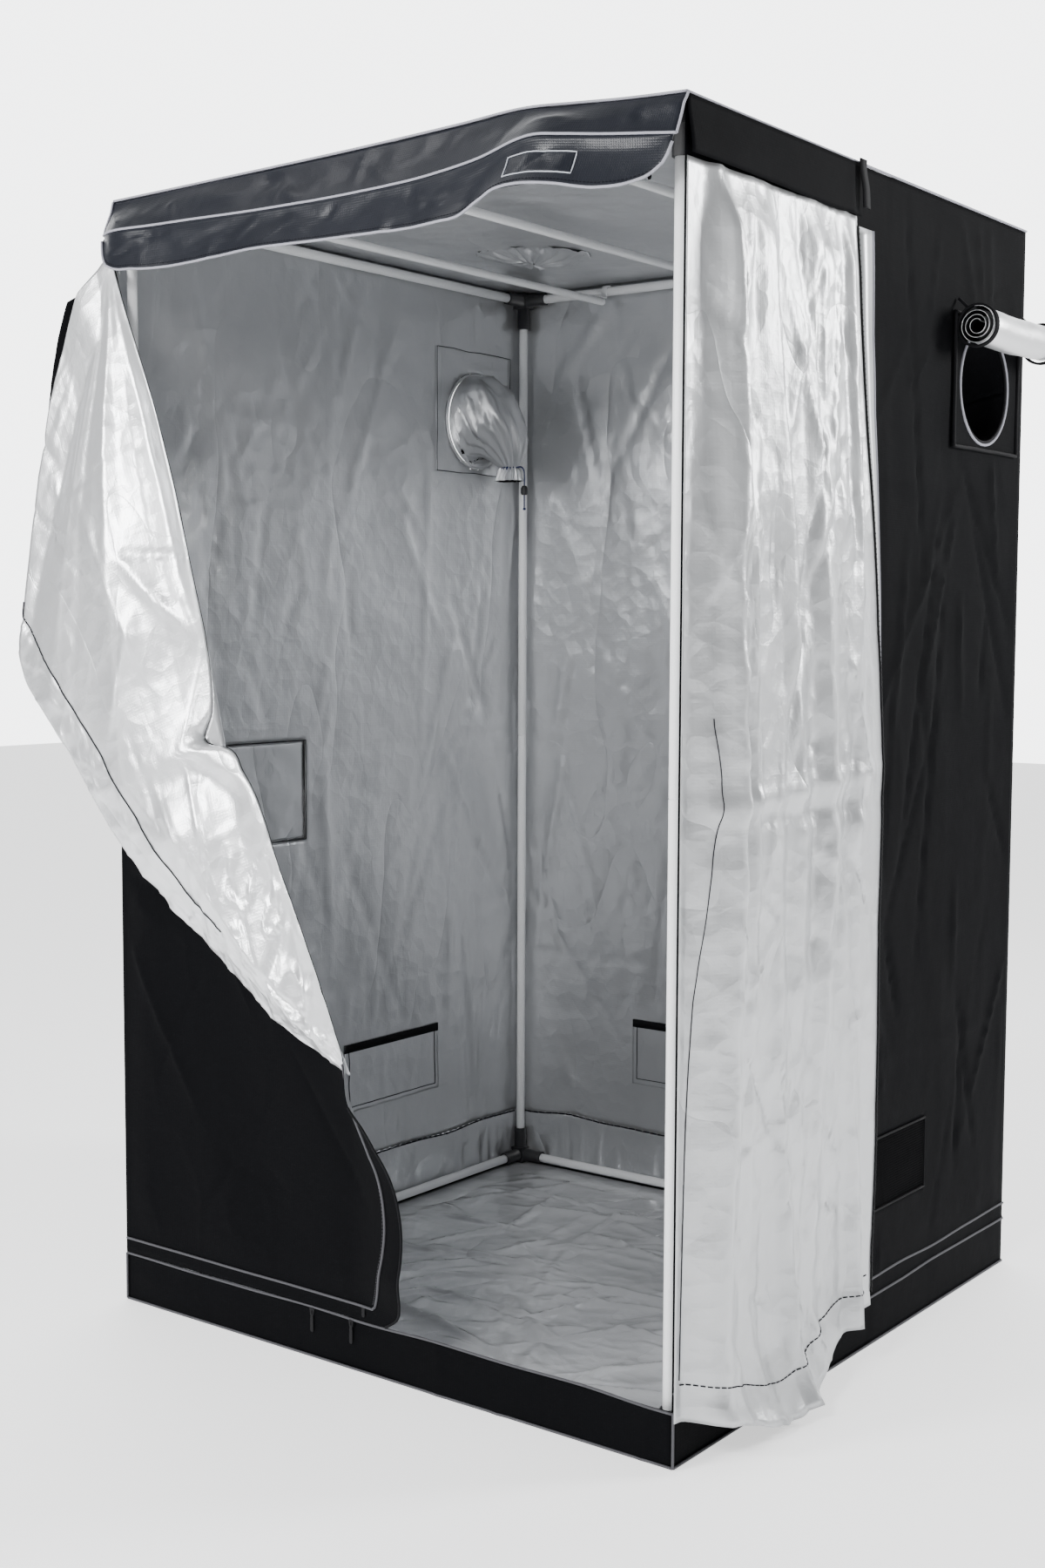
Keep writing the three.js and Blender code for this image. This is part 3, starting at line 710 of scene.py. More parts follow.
def make_roof():
    x, y = np.meshgrid(lines(-HALF, HALF, 0.011), lines(-HALF, HALF, 0.011))
    keep = np.ones((x.shape[0] - 1, x.shape[1] - 1), bool)
    grow = open_round(x, y, keep, ROOF_PORT, PORT_R)
    x, y = ROOF_PORT[0] + (x - ROOF_PORT[0]) * grow, ROOF_PORT[1] + (y - ROOF_PORT[1]) * grow
    points = np.stack([x, y, roof_height(x, y)], axis=-1)
    piece = cloth("roof_cloth", points, x, y, BLACK, SILVER, UP, keep)
    finish_cloth(piece, "shell", "skin_black", ["roof_panel"])
    edges = [(-1, -1, -1, 1), (-1, 1, 1, 1), (1, 1, 1, -1), (1, -1, -1, -1)]
    paths = []
    for x0, y0, x1, y1 in edges:
        t = np.linspace(0, 1, 90)
        px, py = HALF * (x0 + (x1 - x0) * t), HALF * (y0 + (y1 - y0) * t)
        paths.append(np.stack([px * 1.001, py * 1.001, roof_height(px, py) + 0.001], axis=-1))
    settle(tubes("roof_piping", paths, PIPING_R, PIPING), "shell", "trim_grey")


def make_floor():
    x, y = np.meshgrid(lines(-HALF, HALF, 0.02), lines(-HALF, HALF, 0.02))
    piece = cloth("ground_sheet_cloth", np.stack([x, y, 0.0014 + 0 * x], axis=-1), x, y, BLACK, BLACK, UP)
    finish_cloth(piece, "shell", "skin_black", ["ground_sheet"])
    reach = 0.5875
    x, y = np.meshgrid(lines(-reach, reach, 0.008), lines(-reach, reach, 0.0055))
    edge = reach - np.maximum(np.abs(x), np.abs(y))
    height = 3.4e-3 + 3e-3 * np.abs(noise(x * 6 + y * 2, y * 3, 500))
    height += np.abs(scattered_creases(x, y, 501, 130, 1.3, (0.08, 0.5), 0.009, 0.009))
    height += 2.0e-3 * ridges(x * 4, y * 9, 502) + 1.0e-3 * ridges(x * 12, y * 17, 503)
    height += np.abs(scattered_creases(y + 0.35, x, 504, 16, 0.2, (0.06, 0.4), 0.006, 0.011))
    height = 3.4e-3 + (height - 3.4e-3) * step(edge, 0.055, 0.13)
    piece = cloth("floor_liner_cloth", np.stack([x, y, height], axis=-1), x, y, FLOOR_SILVER, BLACK, UP)
    finish_cloth(piece, "shell", "skin_silver", ["floor_liner"])


SKIRT_PLANE = 0.5905                # of the liner's upturned edge, from the middle


def make_skirts():
    """The liner's upturned edge inside the walls, drawn up in small gathers under a row of stitches."""
    sides = [
        ("left", lambda s, z, out: np.stack([-SKIRT_PLANE + out, s, z], axis=-1)),
        ("right", lambda s, z, out: np.stack([SKIRT_PLANE - out, -s, z], axis=-1)),
        ("back", lambda s, z, out: np.stack([s, SKIRT_PLANE - out, z], axis=-1)),
    ]
    for k, (side, place) in enumerate(sides):
        reach = 0.59
        s, v = np.meshgrid(lines(-reach, reach, 0.0055), np.linspace(0, 1, 16))
        high = 0.128 + 0.006 * noise(s * 9, s * 0, 510 + k) + 0.0015 * np.sin(s * 2 * math.pi / 0.018)
        gathers = 0.0045 * noise(s * 60, v * 0.8 + 5, 520 + k) + 0.003 * ridges(s * 30, v * 2, 530 + k)
        lean = np.clip(gathers, -0.003, 0.0065) * np.clip(1.15 - v, 0.15, 1) * step(v, 0, 0.15)
        points = place(s, 0.0045 + high * v - 0.0045 * v, lean - 0.0015)
        inward = place(s, v, lean + 1) - place(s, v, lean)
        piece = cloth(f"floor_skirt_{side}", points, s, v * 0.13, SILVER, BLACK, inward, thickness=0.0008)
        finish_cloth(piece, "shell", "skin_silver", [])
        top = on_grid(points, np.linspace(0.005, 0.995, 240), 0.985, 0.0008, inward)
        settle(tubes(f"floor_skirt_stitch_{side}", dashes(top, 0.02, 0.9), 0.0018, THREAD, 6),
               "shell", "trim_grey")


def make_sill():
    reach = HALF - 0.001
    x, z = np.meshgrid(lines(-reach, reach, 0.011), np.linspace(0.0, SILL_TOP, 14))
    out = 2.5e-3 * noise(x * 6, z * 8, 600) + 2e-3 * ridges(x * 10, z * 7, 601)
    out *= step(HALF - np.abs(x), 0, 0.05)
    points = np.stack([x, -HALF - np.clip(out, -0.003, 0.003),
                       z + 0.004 * noise(x * 4, x * 0, 602) * (z > 0.1)],
                      axis=-1)
    piece = cloth("front_sill_cloth", points, x, z, BLACK, SILVER, FRONT)
    finish_cloth(piece, "shell", "skin_black", ["front_sill"])

    around = []
    for height in (0.0025, SILL_TOP, DOOR_PIPING):
        wave = lambda s, k: 0.0025 * noise(s * 7 + k, s * 0 + height * 90, 603) * (height > 0.01)
        s = np.linspace(-HALF, HALF, 120)
        lift = 0.0015
        left = np.stack([-HALF - lift + 0 * s, -s, height + wave(s, 3)], axis=-1)
        front = np.stack([s, -HALF - lift + 0 * s, height + wave(s, 7)], axis=-1)
        right = np.stack([HALF + lift + 0 * s, s, height + wave(s, 11)], axis=-1)
        back = np.stack([-s, HALF + lift + 0 * s, height + wave(s, 17)], axis=-1)
        around += [left, right, back] if height == DOOR_PIPING else [left, front, right, back]
    z = np.linspace(0.0025, SILL_TOP, 20)
    around.append(np.stack([HALF + 0.0012 + 0 * z, -HALF - 0.0012 + 0 * z, z], axis=-1))
    around.append(np.stack([-HALF - 0.0012 + 0 * z, -HALF - 0.0012 + 0 * z, z], axis=-1))
    settle(tubes("base_piping", around, PIPING_R, LOW_PIPING), "shell", "trim_grey")


# ---------------------------------------------------------------- left door
FREE_EDGE = STORM_FLAP
STORM_FLAP_SEAM = 0.0               # x of the seam between the door and its storm flap
FOLD_LENGTH = 1.56                  # of the fold that shows, down to where the free edge turns under
FLAP_LENGTH = 1.51                  # of the silver flap, which ends a little higher
FOLD_AXIS = (Vector((FREE_EDGE, APEX.y, FOLD_END_Z)) - APEX).normalized()
ACROSS_CLOSED = FOLD_AXIS.cross(Vector((0, 1, 0))).normalized()     # in the front plane, up and right
FLAP_TURN = math.radians(172)
ACROSS_FOLDED = Matrix.Rotation(FLAP_TURN, 3, FOLD_AXIS) @ ACROSS_CLOSED
FLAP_FRONT = ACROSS_FOLDED.cross(FOLD_AXIS).normalized()
if FLAP_FRONT.y > 0:
    FLAP_FRONT = -FLAP_FRONT


def fold_edge(s):
    """How far the fold strays right of its straight line, with the pinch below the middle."""
    return curve(s, (0, 0), (0.3, 0.024), (0.53, 0.008), (0.66, -0.018), (0.76, -0.04), (0.84, -0.06),
                 (0.895, -0.08), (0.912, -0.045), (0.97, -0.015), (1.16, 0.002), (1.38, 0.019), (1.46, 0.021),
                 (1.5, 0.024), (FOLD_LENGTH, 0.031))


def fold_bulge(s):
    """How far the fold stands forward of the door's plane."""
    return curve(s, (0, 0.006), (0.12, 0.022), (0.5, 0.034), (0.85, 0.02), (0.9, 0.03), (0.95, 0.034),
                 (1.2, 0.034),
                 (1.45, 0.036), (FOLD_LENGTH, 0.034))


def flap_width(s):
    """From the fold's straight line out to the flap's outer edge."""
    return curve(s, (0, 0.085), (0.05, 0.128), (0.164, 0.216), (0.369, 0.338), (0.5, 0.41), (0.575, 0.45),
                 (0.62, 0.458), (0.713, 0.421), (0.8, 0.385), (0.954, 0.337), (1.109, 0.277), (1.258, 0.19),
                 (1.399, 0.1), (1.46, 0.04), (FLAP_LENGTH, -0.02))


def in_space(s, along, w, across, h, forward):
    """Points s along one direction, w across another and h forward, from the apex."""
    base = np.array(APEX)
    return (base + s[..., None] * np.array(along) + w[..., None] * np.array(across)
            + h[..., None] * np.array(forward))


def make_left_lower():
    """The part of the left door that is still zipped, up to the fold."""
    s, t = np.meshgrid(lines(0, FOLD_LENGTH, 0.0105), np.linspace(0, 1, 150))
    edge = fold_edge(s)
    top = APEX.z + s * FOLD_AXIS.z + edge * ACROSS_CLOSED.z
    x = APEX.x + s * FOLD_AXIS.x + edge * ACROSS_CLOSED.x * t ** 6
    z = DOOR_LOW + (top - DOOR_LOW) * t
    right = step(s, FOLD_LENGTH - 0.42, FOLD_LENGTH)
    strip_edge = curve(z, (0.09, 0.036), (0.105, 0.06), (0.14, 0.086), (0.2, 0.103), (0.29, 0.109),
                       (0.36, 0.092),
                       (0.41, 0.062), (0.47, 0.0187))
    x = x + right * (strip_edge - x[:, -1:])
    down = (top - z) * abs(FOLD_AXIS.x)
    out = fold_bulge(s) * np.exp(-down / 0.05)
    held = step(x + HALF, 0, 0.07) * step(z - DOOR_LOW, 0, 0.08)
    waves = 6e-3 * (1 + noise(x * 3.2, z * 1.5, 701)) + 3.5e-3 * noise(x * 8 + z * 3, z * 4, 702)
    waves += scattered_creases(x, z, 703, 45, 0.9, (0.12, 0.5), 0.012, 0.006)
    waves += 1.0e-3 * ridges(x * 11, z * 9, 704)
    strip = step(x, STORM_FLAP_SEAM - 0.03, strip_edge + 0.001)
    out = out + waves * held * (1 - 0.6 * step(0.12 - down, 0, 0.1)) + 0.034 * strip * step(z, 0.09, 0.2)
    out = np.maximum(out, 0.0005)
    points = np.stack([x, -HALF - 0.0024 - out, z], axis=-1)
    piece = cloth("left_door_lower_cloth", points, x, z, BLACK, SILVER, FRONT)
    finish_cloth(piece, "shell", "skin_black", ["left_door_lower"])

    # Piping along the storm flap's seam and the door's bottom, and a bound free edge
    rows = np.linspace(0.07, 1, 60)
    seam_share = curve(rows, (0, 0.925), (0.3, 0.945), (1, 0.955))
    seam = on_grid(points, seam_share, rows, 0.0012)
    columns = np.linspace(0.004, 0.925, 90)
    heights = np.interp(columns, np.linspace(0, 1, points.shape[1]), points[-1, :, 2])
    bottom = on_grid(points, columns, (DOOR_PIPING - DOOR_LOW) / (heights - DOOR_LOW), 0.0012)
    bottom = np.concatenate([bottom, seam[:1]])
    settle(tubes("left_door_piping", [seam, bottom], PIPING_R, LOW_PIPING), "shell", "trim_grey")
    hem = on_grid(points, 1 + 0 * rows, np.linspace(0, 1, 60), 0)
    settle(tubes("left_door_free_edge", [hem], 0.0022, TAPE), "shell", "skin_black")
    stitches = on_grid(points, seam_share - 0.007, rows, 0.0004)
    settle(tubes("left_door_stitches", dashes(stitches), 0.0005, LOW_PIPING, 5), "shell", "trim_grey")


def tent(x, middle, left, right):
    """A straight-sided ridge from 0 to 1, with its own width on each side."""
    return np.clip(np.where(x < middle, 1 - (middle - x) / left, 1 - (x - middle) / right), 0, 1)


def free_edge_line(s):
    """The flap's free edge carried on past its corner, from the fold's straight line."""
    return curve(s, (0.4, 0.535), (0.62, 0.455), (0.8, 0.388), (0.954, 0.337), (1.109, 0.277), (1.258, 0.19),
                 (1.4, 0.1))


def flap_height(s, w, inner):
    """How far the folded flap stands forward of its own plane."""
    r, angle = np.hypot(s, w), np.arctan2(w, np.maximum(s, 1e-6))
    away = np.maximum(w - inner, 0)
    total = fold_bulge(s) * np.exp(-away / 0.05) + 0.006
    spread = step(r, 0.02, 0.4)
    lower = step(r, 0.95, 1.2)
    facets = 0.052 * tent(angle, 0.30, 0.24, 0.34) + 0.008 * tent(angle, 0.13, 0.06, 0.1)
    facets += 0.012 * tent(angle, 0.52, 0.08, 0.12)
    total += facets * step(r, 0.02, 0.45) * (1 - lower)
    total += 0.003 * noise(angle * 9, r * 1.3, 722) * spread + 0.0008 * noise(angle * 34, r * 3.0,
                                                                              723) * spread
    total += scattered_creases(w, s, 724, 40, 0.6, (0.08, 0.4), 0.006, 0.006) * spread
    span = np.maximum(flap_width(s) - inner, 0.012)
    total += 0.055 * tent(away / span, 0.6, 0.6, 0.4) * np.minimum(span / 0.2, 1) * step(s, 0.93, 1.05)
    for a0, r0, a1, r1 in ((0.5, 0.42, 0.2, 0.78), (0.34, 0.5, 0.06, 0.72), (0.2, 0.62, 0.34, 0.9)):
        start, end = (r0 * math.sin(a0), r0 * math.cos(a0)), (r1 * math.sin(a1), r1 * math.cos(a1))
        total += crease(w, s, start, end, 0.022, 0.014)
    total += 0.0010 * ridges(w * 13, s * 10, 725) + 0.0005 * ridges(w * 31, s * 24, 726)
    hem = step(w - free_edge_line(s) + 0.075, 0, 0.02) * step(s, 0.45, 0.55)
    total += hem * (0.004 * noise(s * 30, w * 9, 727) + 0.0045 * ridges(s * 40 + w * 12, w * 22, 728))
    total += lower * (0.004 * noise(s * 15 + w * 5, w * 9, 730) + 0.005 * ridges(s * 26 - w * 18, w * 24,
                                                                                 731))
    total -= 0.0035 * np.exp(-np.abs(w - free_edge_line(s) + 0.068) / 0.004) * step(s, 0.45, 0.5)
    near_pinch = np.exp(-(((s - 0.93) / 0.07) ** 2)) * np.exp(-away / 0.12)
    total += near_pinch * (0.018 + 0.014 * noise(w * 22 + s * 8, s * 16, 729))
    return total


def make_left_flap():
    """The flap folded out over the lower door, silver side forward."""
    t, k = np.meshgrid(lines(0, 1, 0.005), lines(0, 1, 0.015), indexing="ij")
    s0 = t * FLAP_LENGTH
    inner = -fold_edge(s0)
    w = inner + (flap_width(s0) - inner) * k
    s = s0 + 0.03 * k * (1 - t) ** 10
    s[0] += 0.002
    height = flap_height(s0, w, inner)
    points = in_space(s, FOLD_AXIS, w, ACROSS_FOLDED, height, FLAP_FRONT)
    straight = np.array(APEX) + s0[:, :1, None] * np.array(FOLD_AXIS) + fold_edge(s0[:, :1, None]) * np.array(
        ACROSS_CLOSED) + np.array((0, -1, 0)) * (fold_bulge(s0[:, :1, None]) + 0.0012)
    near = np.exp(-np.maximum(w - inner, 0) / 0.02)[..., None]
    points = points * (1 - near) + near * (straight + (w - inner)[..., None] * np.array(ACROSS_FOLDED))
    points[..., 1] = np.minimum(points[..., 1], -HALF - 0.012 - 0.02 * step(w - inner, 0, 0.1) * (w > inner))
    ahead = np.maximum(-0.655 - points[..., 1], 0)
    points[..., 1] += ahead - 0.058 * (1 - np.exp(-ahead / 0.058))
    points = points[:, ::-1]
    # The flap's silver side carries painted light in its lighter base colour
    piece = cloth("left_door_flap_cloth", points, w[:, ::-1], s0[:, ::-1], FLAP_SILVER_PAINTED_LIGHT, BLACK, FRONT)
    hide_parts("left_door_flap")
    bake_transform(piece)

    # The dark row of stitches 68 mm inside the free edge
    s = np.linspace(0.497, 1.21, 160)
    width, inner = flap_width(s), -fold_edge(s)
    seam_at = free_edge_line(s) - 0.068 + 0.0025 * noise(s * 24, s * 0, 735)
    seam = on_grid(points, (width - seam_at) / (width - inner), s / FLAP_LENGTH, 0.0008)
    settle(tubes("left_flap_seam", [seam], 0.0013, THREAD, 6), "left_flap", "trim_grey")
    return points


def make_left_corner(flap):
    """The flap's top corner, folded behind it."""
    reach = 0.355
    t, k = np.meshgrid(lines(0.012, 1, 0.017), lines(0, 1, 0.03), indexing="ij")
    edge = on_grid(flap, 0 * t, t * reach, 0)
    peek = 0.026 * (1 - step(t, 0.1, 0.42))
    edge = edge + peek[..., None] * np.array(ACROSS_FOLDED) * (1 - k[..., None])
    tip = np.array(APEX) + 0.6 * np.array(FOLD_AXIS) + 0.17 * np.array(ACROSS_FOLDED)
    target = np.array(APEX) + (tip - np.array(APEX)) * t[..., None]
    points = edge * (1 - k[..., None]) + target * k[..., None]
    behind = 0.003 + 0.010 * np.sin(math.pi * np.clip(k * 1.6, 0, 0.5)) + 0.004 * noise(t * 9, k * 5,
                                                                                        741) * step(k, 0, 0.3)
    points = points - behind[..., None] * np.array(FLAP_FRONT)
    points[..., 1] = np.minimum(points[..., 1], -HALF - 0.008)
    piece = cloth("left_door_corner_cloth", points, k * 0.5, t * 0.7, BLACK, SILVER, FRONT)
    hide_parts("left_door_corner")
    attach(piece, "left_corner")


# ---------------------------------------------------------------- right door
DOOR_TOP_EDGE = 1.912


def corner_bulge(z):
    """How far the right door's fold stands out past the front right corner."""
    return curve(z, (0.03, 0.05), (0.13, 0.034), (0.3, 0.038), (0.54, 0.044), (0.75, 0.05), (0.95, 0.055),
                 (1.06, 0.05), (1.18, 0.042), (1.47, 0.034), (1.58, 0.02), (1.75, 0.009), (1.95, 0.003))


def make_right_door():
    """The right door, swung right round the corner and lying against the right wall, silver side out."""
    y_start = -HALF - 0.003
    share, v = np.meshgrid(
        np.concatenate([np.linspace(0, 0.045, 7)[:-1], lines(0.045, 1, 0.0125)]), np.linspace(0, 1, 190))
    low = 0.075 - 0.055 * np.exp(-(((share - 0.38) / 0.22) ** 2)) + 0.012 * step(share, 0.6, 1)
    z = low + (DOOR_TOP_EDGE - low) * v
    y_top, y_low = -0.09, 0.002
    end = y_low + (y_top - y_low) * step(z, 0.9, 1.95) + 0.006 * noise(z * 2.5, z * 0, 801)
    y = y_start + (end - y_start) * share
    u = share * 0.6
    bulge = corner_bulge(z) * step(share, 0.02, 0.14) * (0.28 + 0.72 * np.exp(-share / 0.22))
    drop = 1.0 + 0.5 * np.exp(-z / 0.25)
    out = 0.010 * (1 + noise(u * 11 + 0.5 * z, z * 0.6, 802)) * drop
    out += 0.003 * noise(u * 30 + z, z * 1.2, 803) * drop
    out += 0.020 * scattered_ridge(u, z, 804)
    out += scattered_creases(u, z, 805, 70, 0.3, (0.1, 0.7), 0.008, 0.009)
    crumpled = step(1.5 - z, 0, 0.4)
    out += scattered_creases(u, z, 806, 60, 1.4, (0.04, 0.2), 0.006, 0.009) * crumpled
    out += 0.003 * noise(u * 22, z * 16, 810) * crumpled
    out += 0.0011 * ridges(u * 12, z * 8, 807) + 0.0006 * ridges(u * 28, z * 20, 808)
    out += 0.009 * np.exp(-(((z - 1.0 - 0.06 * (u - 0.3)) / 0.018) ** 2)) * (0.6 + 0.4 * noise(u * 14, u * 0,
                                                                                               809))
    out -= 0.006 * np.exp(-(((z - 0.965) / 0.02) ** 2)) * step(u, 0.1, 0.2)
    flare = 0.052 * np.exp(-(z - 0.02) / 0.075) * step(share, 0.03, 0.3) * step(1 - share, 0.05, 0.4)
    tucked = step(DOOR_TOP_EDGE - z, 0.0, 0.1)
    at_edge = 1 - 0.8 * step(share, 0.86, 0.99)
    out = np.maximum(out, 0) * step(share, 0.03, 0.08) * (0.25 + 0.75 * tucked) * at_edge
    x = HALF + 0.0045 + bulge * tucked + out + flare
    points = np.stack([x, y, z], axis=-1)
    # The door's silver side carries painted shade in its darker base colour
    piece = cloth("right_door_cloth", points, u, z, DOOR_SILVER_PAINTED_SHADE, BLACK, RIGHT)
    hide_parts("right_door")
    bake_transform(piece)

    # Thread seam of the storm strip, hem stitches, zip line and the piped strip at the free edge
    rows = np.linspace(0.035, 0.57, 160)
    seam_y = curve(rows * 1.85 + 0.06, (0.1, 0.03), (0.3, 0.04), (0.54, 0.055), (0.75, 0.08), (0.9, 0.1),
                   (1.02, 0.12), (1.1, 0.11))
    seam = on_grid(points, seam_y, rows, 0.0006, RIGHT)
    settle(tubes("right_door_seam", [seam], 0.0008, THREAD, 5), "right_door", "trim_grey")
    hem = on_grid(points, np.linspace(0.02, 0.985, 120), 0.031, 0.0006, RIGHT)
    settle(tubes("right_door_hem_stitches", dashes(hem, 0.011, 0.72), 0.0011, THREAD, 5), "right_door",
           "trim_grey")
    make_door_zip(points)


def scattered_ridge(u, z, seed):
    """A few long soft folds that wander as they fall."""
    total = np.zeros_like(u)
    rng = np.random.default_rng(seed)
    for k in range(7):
        at, lean, phase = 0.07 + 0.075 * k + rng.uniform(-0.02, 0.02), rng.uniform(-0.06,
                                                                                   0.06), rng.uniform(0, 6)
        line = at + lean * (z - 1) + 0.012 * np.sin(z * 3 + phase)
        fade = 0.5 + 0.5 * np.sin(z * rng.uniform(1.5, 3.5) + phase)
        total += fade * np.clip(1 - np.abs(u - line) / rng.uniform(0.02, 0.045), 0, 1)
    return total


def make_door_zip(door):
    """The door's side edge: a black zip tape, then a pale strip with piping beyond it."""
    rows = np.linspace(0.012, 0.992, 160)
    edge = on_grid(door, 1 + 0 * rows, rows, 0)
    z = edge[:, 2]
    tape_wide = 0.007
    strip_wide = curve(z, (0.05, 0.006), (0.9, 0.012), (1.3, 0.03), (1.92, 0.05))
    left, right = edge.copy(), edge.copy()
    left[:, 0] += 0.0008
    right[:, 0] = np.maximum(edge[:, 0] - 0.001, HALF + 0.003)
    right[:, 1] += tape_wide
    points, faces = strip_mesh(left, right, 0.0012)
    settle(new_piece("right_door_zip_tape", points, faces, [TAPE]), "right_door", "skin_black")
    far = right.copy()
    far[:, 1] += strip_wide
    far[:, 0] = HALF + 0.0035 + 0.002 * np.abs(noise(z * 6, z * 0, 811))
    points, faces = strip_mesh(right, far, 0.0012)
    settle(new_piece("right_door_edge_strip", points, faces, [DOOR_SILVER_PAINTED_SHADE]), "right_door", "skin_silver")
    far[:, 0] += 0.001
    settle(tubes("right_door_edge_piping", [far], PIPING_R, PIPING), "right_door", "trim_grey")
    teeth = []
    gone = np.linspace(0, 1, 420)
    spots = np.stack([np.interp(gone, np.linspace(0, 1, len(edge)),
                                (left + right)[:, k] / 2) for k in range(3)], -1)
    for n, spot in enumerate(spots):
        side = 0.0011 * (-1) ** n
        a = spot + np.array((0.0014, side - 0.0012, 0))
        b = spot + np.array((0.0014, side + 0.0012, 0))
        teeth.append(tube_mesh([a, b], 0.0008, 5))
    points, faces = merged(teeth)
    settle(new_piece("right_door_zip_teeth", points, faces, [METAL]), "right_door", "slider_metal")


# ---------------------------------------------------------------- header
BAND_TOP = Vector((0, -HALF - 0.0005, TALL - 0.002))


def header_edge(x):
    """Height of the header flap's lower edge."""
    return curve(x, (-0.6, 1.926), (-0.594, 1.912), (-0.578, 1.888), (-0.55, 1.872), (-0.5, 1.866),
                 (-0.2, 1.866),
                 (0, 1.863), (0.2, 1.859), (0.245, 1.862), (0.28, 1.877), (0.315, 1.888), (0.36,
                                                                                           1.890), (0.42,
                                                                                                    1.884),
                 (0.5, 1.870), (0.545, 1.873), (0.58, 1.890), (0.596, 1.912), (0.6, 1.926))


def header_seam(x):
    """The seam's (y, z) along x."""
    y = curve(x, (-0.61, -0.614), (-0.595, -0.628), (-0.575, -0.638), (-0.45, -0.639), (0.1, -0.641),
              (0.3, -0.652),
              (0.37, -0.657), (0.45, -0.65), (0.55, -0.64), (0.61, -0.63))
    z = curve(x, (-0.61, 1.936), (-0.4, 1.934), (-0.2, 1.930), (0.0, 1.930), (0.17, 1.935), (0.27, 1.945),
              (0.345, 1.960), (0.37, 1.962), (0.42, 1.957), (0.49, 1.948), (0.61, 1.936))
    return y, z


def make_header():
    x, t = np.meshgrid(lines(-HALF - 0.002, HALF + 0.004, 0.009), np.linspace(0, 1, 15))
    seam_y, seam_z = header_seam(x)
    top_z = BAND_TOP.z + arch(x)
    y = seam_y + (BAND_TOP.y - seam_y) * t
    z = seam_z + (top_z - seam_z) * t
    waves = 0.004 * noise(x * 5.5, t * 1.2, 921) + 0.0025 * noise(x * 13, t * 2, 922)
    waves += scattered_creases(x, t * 0.08, 923, 24, 1.1, (0.04, 0.16), 0.006, 0.004)
    waves += 0.0009 * ridges(x * 24, t * 3, 924)
    waves = waves * np.sin(math.pi * np.clip(t, 0.04, 0.96))
    points = np.stack([x, y - 0.88 * waves, z + 0.47 * waves], axis=-1)
    # Header band in the black cloth with painted sheen in its colour
    piece = cloth("front_header_cloth", points, x, t * 0.08, HEADER_PAINTED_SHEEN, BLACK, FRONT)
    finish_cloth(piece, "shell", "skin_header", ["front_header"])
    xs = np.linspace(0.0, 1.0, 200)
    seam = on_grid(points, xs, 0 * xs, 0.0012)
    settle(tubes("header_seam_piping", [seam], PIPING_R, PIPING), "shell", "trim_grey")
    ends = [on_grid(points, side + 0 * xs[:20], np.linspace(0, 1, 20), 0.0008) for side in (0.0, 1.0)]
    settle(tubes("header_end_piping", ends, 0.0019, PIPING), "shell", "trim_grey")

    x, t = np.meshgrid(lines(-HALF, HALF, 0.009), np.linspace(1, 0, 15))
    seam_y, seam_z = header_seam(x)
    drop = seam_z - header_edge(x)
    lift = curve(x, (-0.6, 0.002), (-0.57, 0.008), (-0.5, 0.01), (-0.2, 0.012), (0.1, 0.014), (0.25, 0.022),
                 (0.36, 0.034),
                 (0.47, 0.03), (0.56, 0.014), (0.6, 0.002))
    waves = 0.0055 * noise(x * 6, t * 1.0, 931) + 0.0025 * noise(x * 15, t * 1.6, 932)
    waves += scattered_creases(x, t * 0.1, 933, 22, 0.9, (0.04, 0.14), 0.006, 0.004)
    waves += 0.0008 * ridges(x * 26, t * 3, 934)
    y = seam_y - 0.0015 - lift * t ** 1.6 - waves * step(t, 0, 0.35)
    points = np.stack([x, y, seam_z - 0.0012 - drop * t], axis=-1)
    # Header flap in the black cloth with painted sheen in its colour
    piece = cloth("header_flap_cloth", points, x, -drop * t, HEADER_PAINTED_SHEEN, BLACK, FRONT)
    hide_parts("header_flap")
    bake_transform(piece)
    edge = on_grid(points, xs, 0 * xs, 0.0004)
    settle(tubes("header_flap_piping", [edge], PIPING_R, PIPING), "header_flap", "trim_grey")
    stitch = on_grid(points, np.linspace(0.02, 0.98, 200), 0.1 + 0 * xs, 0.0005)
    settle(tubes("header_flap_stitches", dashes(stitch), 0.0005, THREAD, 5), "header_flap", "trim_grey")
    make_label(points)


def make_label(flap):
    """A blank sewn patch with a plain border."""
    x0, x1, t0, t1 = 0.33, 0.45, 0.24, 0.68
    share = lambda x: (x + HALF) / (2 * HALF)
    xs = np.linspace(share(x0), share(x1), 24)
    ts = np.linspace(t0, t1, 9)
    u, v = np.meshgrid(xs, ts)
    field = on_grid(flap, u, v, 0.0007)
    piece = cloth("header_patch", field, (u - u[0, 0]) * 1.2, (v - t0) * 0.09, HEADER_PAINTED_SHEEN, BLACK, FRONT,
                  thickness=0.0005)
    finish_cloth(piece, "header_flap", "skin_header", [])
    border = np.concatenate([field[0], field[1:-1, -1], field[-1][::-1], field[1:-1, 0][::-1]])
    settle(tubes("header_patch_border", [border], 0.0011, PATCH, 6, closed=True), "header_flap", "trim_grey")


